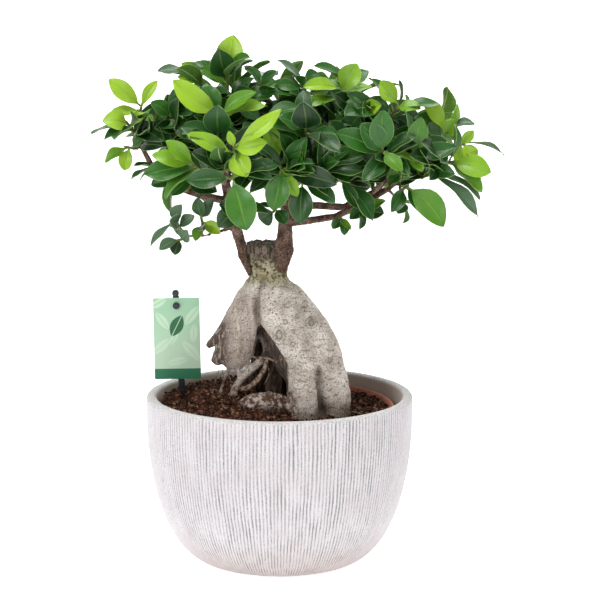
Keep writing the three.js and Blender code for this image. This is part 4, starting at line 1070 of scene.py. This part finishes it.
# %% The leaves' finishes
def on_blade(finish):
    """How far along the blade, how far from the midrib, and how strong the vein pattern is."""
    grid = finish.node("ShaderNodeUVMap", {"uv_map": "blade"}, {})
    along = finish.part(grid, "X")
    aside = abs(finish.part(grid, "Y") * 2 - 1)
    slant = (along - aside * 0.12) * 15
    veins = abs(finish.node("ShaderNodeMath", {"operation": "FRACT"}, {0: slant}) * 2 - 1)
    return along, aside, finish.between(veins, 0.72, 1.0)


def leaf_top():
    finish = Finish("leaf_top", Specular_IOR_Level=0.42, Coat_Roughness=0.25)
    along, aside, veins = on_blade(finish)
    tone = finish.value("tone")
    pick = finish.value("pick")
    blotch = finish.noise(8, detail=3.0)
    stops = [(0.0, rgb(14, 50, 17)), (0.22, rgb(30, 84, 22)), (0.45, rgb(44, 102, 22)), (0.75, rgb(104, 156, 26))]
    stops.append((1.0, rgb(146, 186, 34)))
    age = tone + pick * 0.14 + blotch * 0.16 - 0.13
    colour = finish.node("ShaderNodeValToRGB", {"stops": stops}, {"Fac": age})
    grey = finish.between(tone, -0.02, -0.14)
    colour = finish.mix(grey * 0.7, colour, rgb(86, 116, 86))
    colour = finish.mix(veins * 0.06, colour, rgb(126, 164, 74))
    midrib = finish.between(aside, 0.11, 0.03) * (along > 0.1)
    colour = finish.mix(midrib * 0.22, colour, rgb(140, 176, 80))
    colour = finish.mix(finish.between(aside, 0.92, 1.0) * 0.55, colour, rgb(152, 184, 96))
    colour = finish.mix(finish.between(along, 0.16, 0.1), colour, rgb(130, 160, 72))
    relief = veins * -0.25 - midrib * 0.9 + finish.noise(1.6) * 0.25
    finish.shader.inputs["Coat Weight"].default_value = 0.15
    return finish.done(colour, 0.3 + blotch * 0.14, relief, 0.3)


def leaf_under():
    finish = Finish("leaf_under", Specular_IOR_Level=0.3)
    along, aside, veins = on_blade(finish)
    tone = finish.value("tone")
    stops = [(0.0, rgb(54, 88, 48)), (0.4, rgb(80, 122, 46)), (1.0, rgb(152, 190, 66))]
    colour = finish.node("ShaderNodeValToRGB", {"stops": stops}, {"Fac": tone + finish.noise(7) * 0.15})
    colour = finish.mix(finish.between(aside, 0.1, 0.03), colour, rgb(172, 196, 124))
    return finish.done(finish.mix(veins * 0.12, colour, rgb(146, 176, 112)), 0.6, veins, 0.2)


def twig_bark():
    finish = Finish("twig_bark", Specular_IOR_Level=0.25)
    colour = finish.mix(finish.noise(4, detail=4.0), rgb(92, 80, 56), rgb(128, 122, 78))
    return finish.done(colour, 0.75, finish.noise(0.8, detail=4.0), 0.2)


# %% [markdown]
# The crown is much denser than its shoots: small dark leaves fill it from within, on spurs too short to model one
# by one. They grow straight from the branches and twigs, and are kept only if they stay inside the outline of
# the crown, so that they fill it without widening it.

# %% The leaves inside the crown
CROWN = [  # outline of the crown from the front, in millimetres
    (-112, 340), (-86, 356), (-52, 372), (-34, 382), (6, 366), (50, 364), (86, 352), (122, 334), (140, 312),
    (130, 296), (106, 290), (76, 286), (38, 290), (14, 296), (-14, 292), (-44, 292), (-84, 306), (-108, 322),
]


def in_crown(point):
    """Whether the point, in millimetres, is inside the crown's outline as seen from the front."""
    x = point.x / (1 + point.y / 1650)
    z = point.z + 0.14 * point.y
    inside = False
    for (x0, z0), (x1, z1) in zip(CROWN, CROWN[1:] + CROWN[:1]):
        if (z0 > z) != (z1 > z) and x < x0 + (x1 - x0) * (z - z0) / (z1 - z0):
            inside = not inside
    return inside and abs(point.y) < 84


def spur_places(crown, chance):
    """Points on the crown's branches and twigs from which an inner leaf can grow."""
    corners = [corner.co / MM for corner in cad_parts[CROWNS[crown]].data.vertices]
    points = [corner for corner in corners if in_crown(corner)]
    for shoot in SHOOTS:
        if shoot[0] == crown:
            points += [Vector(shoot[1]).lerp(Vector(shoot[2]), share) for share in (0.1, 0.4, 0.7)]
    chance.shuffle(points)
    return points


def inner_leaves(crown, wanted, seed):
    chance = random.Random(seed)
    shape = bmesh.new()
    points = spur_places(crown, chance)
    kept = tries = 0
    while kept < wanted and tries < wanted * 30:
        base = points[tries % len(points)]
        tries += 1
        aim = Vector((chance.gauss(0, 1), chance.gauss(-0.25, 1), chance.gauss(0.25, 0.7))).normalized()
        way = aim * chance.uniform(24, 40)
        if not (in_crown(base + way) and in_crown(base)):
            continue
        tone = chance.choice((0, 0, 1, 1, 2, 3))
        shape.from_mesh(leaf_bent(base, way, way.length * 0.46, chance.uniform(2, 8), tone, seed + tries))
        kept += 1
    mesh = bpy.data.meshes.new("inner_leaves")
    bmesh.ops.recalc_face_normals(shape, faces=shape.faces)
    shape.to_mesh(mesh)
    shape.free()
    mesh.set_sharp_from_angle(angle=math.radians(50))
    print(kept, "inner leaves on the", crown)
    return mesh


# %% All the shoots
leaf_finishes = (leaf_top(), leaf_under(), twig_bark())
leaf_count = 0
for index, shoot in enumerate(SHOOTS):
    node, mesh, kept = leafy_shoot(index)
    leaf_count += kept
    tone = shoot[6]
    slot = "grey_leaf" if tone < 0 else "dark_leaf" if tone < 2 else "green_leaf" if tone < 4 else "young_leaf"
    hand_in(node.replace("leafy_shoot", "shoot_with_leaves"), mesh, node, slot, *leaf_finishes)
print(leaf_count, "leaves")
hand_in("inner_leaves_left", inner_leaves("left", 190, 1000), "graft_branch_left", "dark_leaf", *leaf_finishes)
hand_in("inner_leaves_right", inner_leaves("right", 260, 9000), "graft_branch_right", "dark_leaf", *leaf_finishes)

# %% [markdown]
# ## The plant label
# A printed card hangs from a stud on a plastic stake. The card is drawn upright, its corners rounded and a hole
# cut for the stud, and then it is swung about the stud as it hangs. The print is a plain leaf on a pale ground.

# %% The label's measures
CARD_WIDE = 36 * MM
CARD_TALL = 64 * MM
CARD_THICK = 0.6 * MM
CARD_TOP = 6 * MM
CARD_TILT = 0.016
STAKE_TILT = 0.06
STUD = Vector((-80.0, 19, 195)) * MM


def hung(shape, tilt):
    """Turns a shape drawn round the stud, and moves it there."""
    place = Matrix.Translation(STUD) @ Matrix.Rotation(-tilt, 4, "Y")
    bmesh.ops.transform(shape, verts=shape.verts, matrix=place)
    return shape


def label_card():
    shape = bmesh.new()
    bmesh.ops.create_cube(shape, size=1)
    size = Matrix.Diagonal((CARD_WIDE, CARD_THICK, CARD_TALL, 1))
    spot = Matrix.Translation((0, 0, CARD_TOP - CARD_TALL / 2))
    bmesh.ops.transform(shape, verts=shape.verts, matrix=spot @ size)
    corners = [edge for edge in shape.edges if abs(edge.verts[0].co.y - edge.verts[1].co.y) > CARD_THICK / 2]
    bmesh.ops.bevel(shape, geom=corners, offset=1 * MM, segments=4, profile=0.5, affect="EDGES", material=-1)
    return shape


def stud_hole():
    shape = bmesh.new()
    place = Matrix.Rotation(math.pi / 2, 4, "X")
    bmesh.ops.create_cone(shape, cap_ends=True, segments=32, radius1=2.1 * MM, radius2=2.1 * MM, depth=4 * MM, matrix=place)
    cutter = bpy.data.objects.new("cutter", mesh_of(shape, smooth=False))
    bpy.context.collection.objects.link(cutter)
    return cutter


# %% The card's print
def leaf_shape(finish, x, y, spot, lean, long, wide):
    """1 inside a pointed oval at a spot, in millimetres on the card."""
    u = (x - spot[0]) * math.cos(lean) + (y - spot[1]) * math.sin(lean)
    v = (y - spot[1]) * math.cos(lean) - (x - spot[0]) * math.sin(lean)
    edge = wide - u * u * (wide / long / long)
    return (abs(v) < edge) * (abs(v) > 0.35)


def printed_card():
    finish = Finish("printed_card", Specular_IOR_Level=0.5)
    grid = finish.node("ShaderNodeUVMap", {"uv_map": "print"}, {})
    x = finish.part(grid, "X") * 36
    y = finish.part(grid, "Y") * 64
    colour = finish.mix(finish.between(y, 8, 64), rgb(196, 224, 196), rgb(164, 208, 174))
    for spot, lean, long, wide in (((6, 26), 0.7, 10, 3.4), ((29, 22), 2.3, 11, 3.6), ((30, 50), 0.9, 10, 3.4),
                                   ((7, 46), 2.2, 9, 3.2), ((18, 14), 0.2, 9, 3.0), ((4, 60), 0.5, 8, 3.0),
                                   ((31, 36), 1.5, 8, 2.8), ((16, 33), 1.1, 7, 2.4)):
        leaf = leaf_shape(finish, x, y, spot, lean, long, wide)
        colour = finish.mix(leaf * 0.6, colour, rgb(216, 240, 212))
    emblem = leaf_shape(finish, x, y, (18, 42), 1.1, 9.5, 5.0)
    colour = finish.mix(emblem, colour, rgb(44, 108, 66))
    colour = finish.mix(y < 8.2, colour, rgb(44, 122, 88))
    return finish.done(colour, 0.42 + finish.noise(3) * 0.06, finish.noise(0.6), 0.01)


def card_mesh():
    cutter = stud_hole()
    mesh = finished(mesh_of(label_card(), smooth=False), "BOOLEAN", operation="DIFFERENCE", object=cutter, solver="EXACT")
    bpy.data.objects.remove(cutter)
    shape = bmesh_of(mesh)
    grid = shape.loops.layers.uv.new("print")
    for face in shape.faces:
        for loop in face.loops:
            co = loop.vert.co
            loop[grid].uv = (co.x / CARD_WIDE + 0.5, (co.z - CARD_TOP) / CARD_TALL + 1)
    return mesh_of(hung(shape, CARD_TILT), smooth=False)


# %% The stake
def pin_into(shape, up, y0, y1, radius):
    place = Matrix.Translation((0, (y0 + y1) / 2 * MM, up * MM)) @ Matrix.Rotation(math.pi / 2, 4, "X")
    made = bmesh.ops.create_cone(
        shape, cap_ends=True, segments=28, radius1=radius * MM, radius2=radius * MM, depth=(y1 - y0) * MM, matrix=place
    )
    ends = [edge for vert in made["verts"] for edge in vert.link_edges if abs(edge.verts[0].co.y - edge.verts[1].co.y) < 1e-6]
    bmesh.ops.bevel(shape, geom=list(set(ends)), offset=0.3 * MM, segments=2, profile=0.5, affect="EDGES", material=-1)


def label_stake():
    shape = bmesh.new()
    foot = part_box("label_stake")[0].z - STUD.z + 0.15 * MM
    top = 7.4 * MM
    bmesh.ops.create_cube(shape, size=1)
    size = Matrix.Diagonal((5 * MM, 2 * MM, top - foot, 1))
    bmesh.ops.transform(shape, verts=shape.verts, matrix=Matrix.Translation((0, 1.6 * MM, (top + foot) / 2)) @ size)
    bmesh.ops.bevel(
        shape, geom=shape.edges[:], offset=0.4 * MM, segments=2, profile=0.5, affect="EDGES", material=-1
    )
    pin_into(shape, 9.4, 0.6, 3.0, 2.7)
    pin_into(shape, 0, -1.4, 1.1, 1.8)
    pin_into(shape, 0, -2.2, -0.6, 2.7)
    return mesh_of(hung(shape, STAKE_TILT), smooth=False)


def dark_plastic():
    finish = Finish("dark_plastic", Specular_IOR_Level=0.5)
    colour = finish.mix(finish.noise(4), rgb(26, 34, 42), rgb(44, 54, 62))
    return finish.done(colour, 0.36 + finish.noise(6) * 0.15, finish.noise(0.7), 0.04)


hand_in("hanging_card", card_mesh(), "label_card", "printed_card", printed_card())
stake = label_stake()
stake.set_sharp_from_angle(angle=math.radians(40))
hand_in("label_stake_shaft", stake, "label_stake", "dark_plastic", dark_plastic())

# %% [markdown]
# ## Dry rootlets
# Thin roots that were torn when the tree was potted hang from the left root and curl over the soil. Each is a
# rod along a few listed points.

# %% Rootlets
ROOTLETS = [  # points in millimetres, radius
    ([(-24, -24, 166), (-18, -27, 163), (-10, -28, 163), (-2, -27, 160), (2, -25, 162)], 0.75),
    ([(-36, -17, 138), (-27, -23, 138), (-19, -24, 143), (-12, -21, 152), (-9, -15, 162)], 2.0),
    ([(-46, -11, 152), (-49, -16, 142), (-52, -20, 130)], 0.35),
    ([(-44, -12, 152), (-43, -20, 140), (-47, -26, 126)], 0.35),
    ([(-40, -12, 150), (-37, -20, 142), (-38, -25, 130)], 0.3),
    ([(-16, -30, 134), (-8, -34, 137), (2, -33, 135), (10, -30, 130)], 0.7),
    ([(-30, -26, 134), (-36, -34, 127), (-46, -38, 124)], 0.45),
    ([(48, -28, 122), (60, -26, 120), (70, -30, 118)], 0.5),
    ([(-10, -8, 156), (-8, -14, 148), (-12, -18, 140)], 0.5),
]


def curved(points, steps=5):
    """More points on a smooth curve through the given ones."""
    out = []
    last = len(points) - 1
    for i in range(last):
        p0, p1, p2, p3 = (Vector(points[min(last, max(0, i + k))]) for k in (-1, 0, 1, 2))
        for step in range(steps):
            t = step / steps
            out.append(
                0.5 * (2 * p1 + (p2 - p0) * t + (2 * p0 - 5 * p1 + 4 * p2 - p3) * t**2 + (3 * p1 - p0 - 3 * p2 + p3) * t**3)
            )
    return out + [Vector(points[last])]


def rootlets():
    shape = bmesh.new()
    for points, radius in ROOTLETS:
        line = curved(points)
        ends = len(line) - 1
        rod_into(shape, [(p * MM, radius * MM * (1 - 0.65 * abs(2 * k / ends - 1) ** 3)) for k, p in enumerate(line)], 7)
    return mesh_of(shape)


def pale_root():
    finish = Finish("pale_rootlet", Specular_IOR_Level=0.25)
    colour = finish.mix(finish.between(finish.noise(2, detail=5.0), 0.4, 0.6), rgb(86, 62, 47), rgb(166, 146, 126))
    return finish.done(colour, 0.8, finish.noise(0.6), 0.3)


hand_in("dry_rootlets", rootlets(), "root_trunk", "root_bark", pale_root())

# %% [markdown]
# Behind the hanging root, more roots run down in the shade. They close the gap between the legs. They are brown
# and stringy, and painted shade makes them dark.

# %% The shaded roots behind
SHADED = [  # points in millimetres, radius
    ([(-10, 8, 206), (-11, 12, 184), (-12, 12, 160), (-16, 10, 118)], 9.5),
    ([(2, 4, 206), (4, 10, 184), (3, 12, 160), (0, 10, 118)], 10.5),
    ([(-4, 6, 196), (-3, 4, 172), (-2, 0, 150), (-6, -4, 118)], 7.0),
]


def shaded_roots():
    shape = bmesh.new()
    for points, radius in SHADED:
        rod_into(shape, [(p * MM, radius * MM) for p in curved(points, 14)], 40)
    for vert in shape.verts:
        vert.co += Vector((vert.co.x, vert.co.y, 0)).normalized() * 1.4 * MM * rough(vert.co, 2.6, 2.6, 16)
    return mesh_of(shape)


def painted_shade_root_bark():
    finish = Finish("root_bark_painted_shade", Specular_IOR_Level=0.2)
    strings = finish.noise(2.0, finish.stretched(1, 1, 0.2), detail=5.0, roughness=0.7)
    # Brown, stringy roots, darkened with painted shade.
    colour = finish.mix(finish.between(strings, 0.38, 0.66), rgb(30, 22, 18), rgb(108, 88, 74))
    return finish.done(colour, 0.85, strings, 1.2)


hand_in("shaded_roots", shaded_roots(), "root_trunk", "root_bark", painted_shade_root_bark())

# %% [markdown]
# ## Stage and light
# The floor and the wall behind it are white. The light is that of a studio tent: a large soft lamp overhead, one
# at the left front, a weaker one at the right, and a pale sky that fills the shadows.

# %% Stage
def white_paper(name, glow):
    finish = Finish(name, Specular_IOR_Level=0.0, Emission_Color=(1, 1, 1, 1), Emission_Strength=glow)
    tint = finish.noise(400)
    return finish.done(finish.mix(tint, (0.9, 0.9, 0.9, 1), (0.92, 0.92, 0.92, 1)), 1.0 - tint * 0.05)


def sheet_of_paper(name, matrix, glow):
    shape = bmesh.new()
    bmesh.ops.create_grid(shape, x_segments=1, y_segments=1, size=4, matrix=matrix)
    mesh = bpy.data.meshes.new(name)
    shape.to_mesh(mesh)
    shape.free()
    mesh.materials.append(white_paper(name, glow))
    sheet = bpy.data.objects.new(name, mesh)
    bpy.context.collection.objects.link(sheet)


sheet_of_paper("floor", Matrix.Translation((0, 0, -0.2 * MM)), 0.55)
sheet_of_paper("wall", Matrix.Translation((0, 2.6, 1)) @ Matrix.Rotation(math.pi / 2, 4, "X"), 0.9)


# %% Light
def lamp(name, spot, size, power):
    light = bpy.data.lights.new(name, "AREA")
    light.shape = "SQUARE"
    light.size = size
    light.energy = power
    holder = bpy.data.objects.new(name, light)
    bpy.context.collection.objects.link(holder)
    holder.location = spot
    holder.rotation_euler = (Vector((0, 0, 0.2)) - Vector(spot)).to_track_quat("-Z", "Y").to_euler()


lamp("overhead", (-0.1, -0.3, 1.7), 0.8, 17)
lamp("left_front", (-1.2, -1.3, 1.1), 0.6, 12)
lamp("right_front", (1.4, -1.1, 0.7), 0.8, 5)
lamp("behind", (0.3, 1.4, 1.3), 0.9, 6)
sky = bpy.data.worlds.new("sky")
bpy.context.scene.world = sky
sky.use_nodes = True
sky.node_tree.nodes["Background"].inputs["Color"].default_value = (1, 1, 1, 1)
sky.node_tree.nodes["Background"].inputs["Strength"].default_value = 0.33
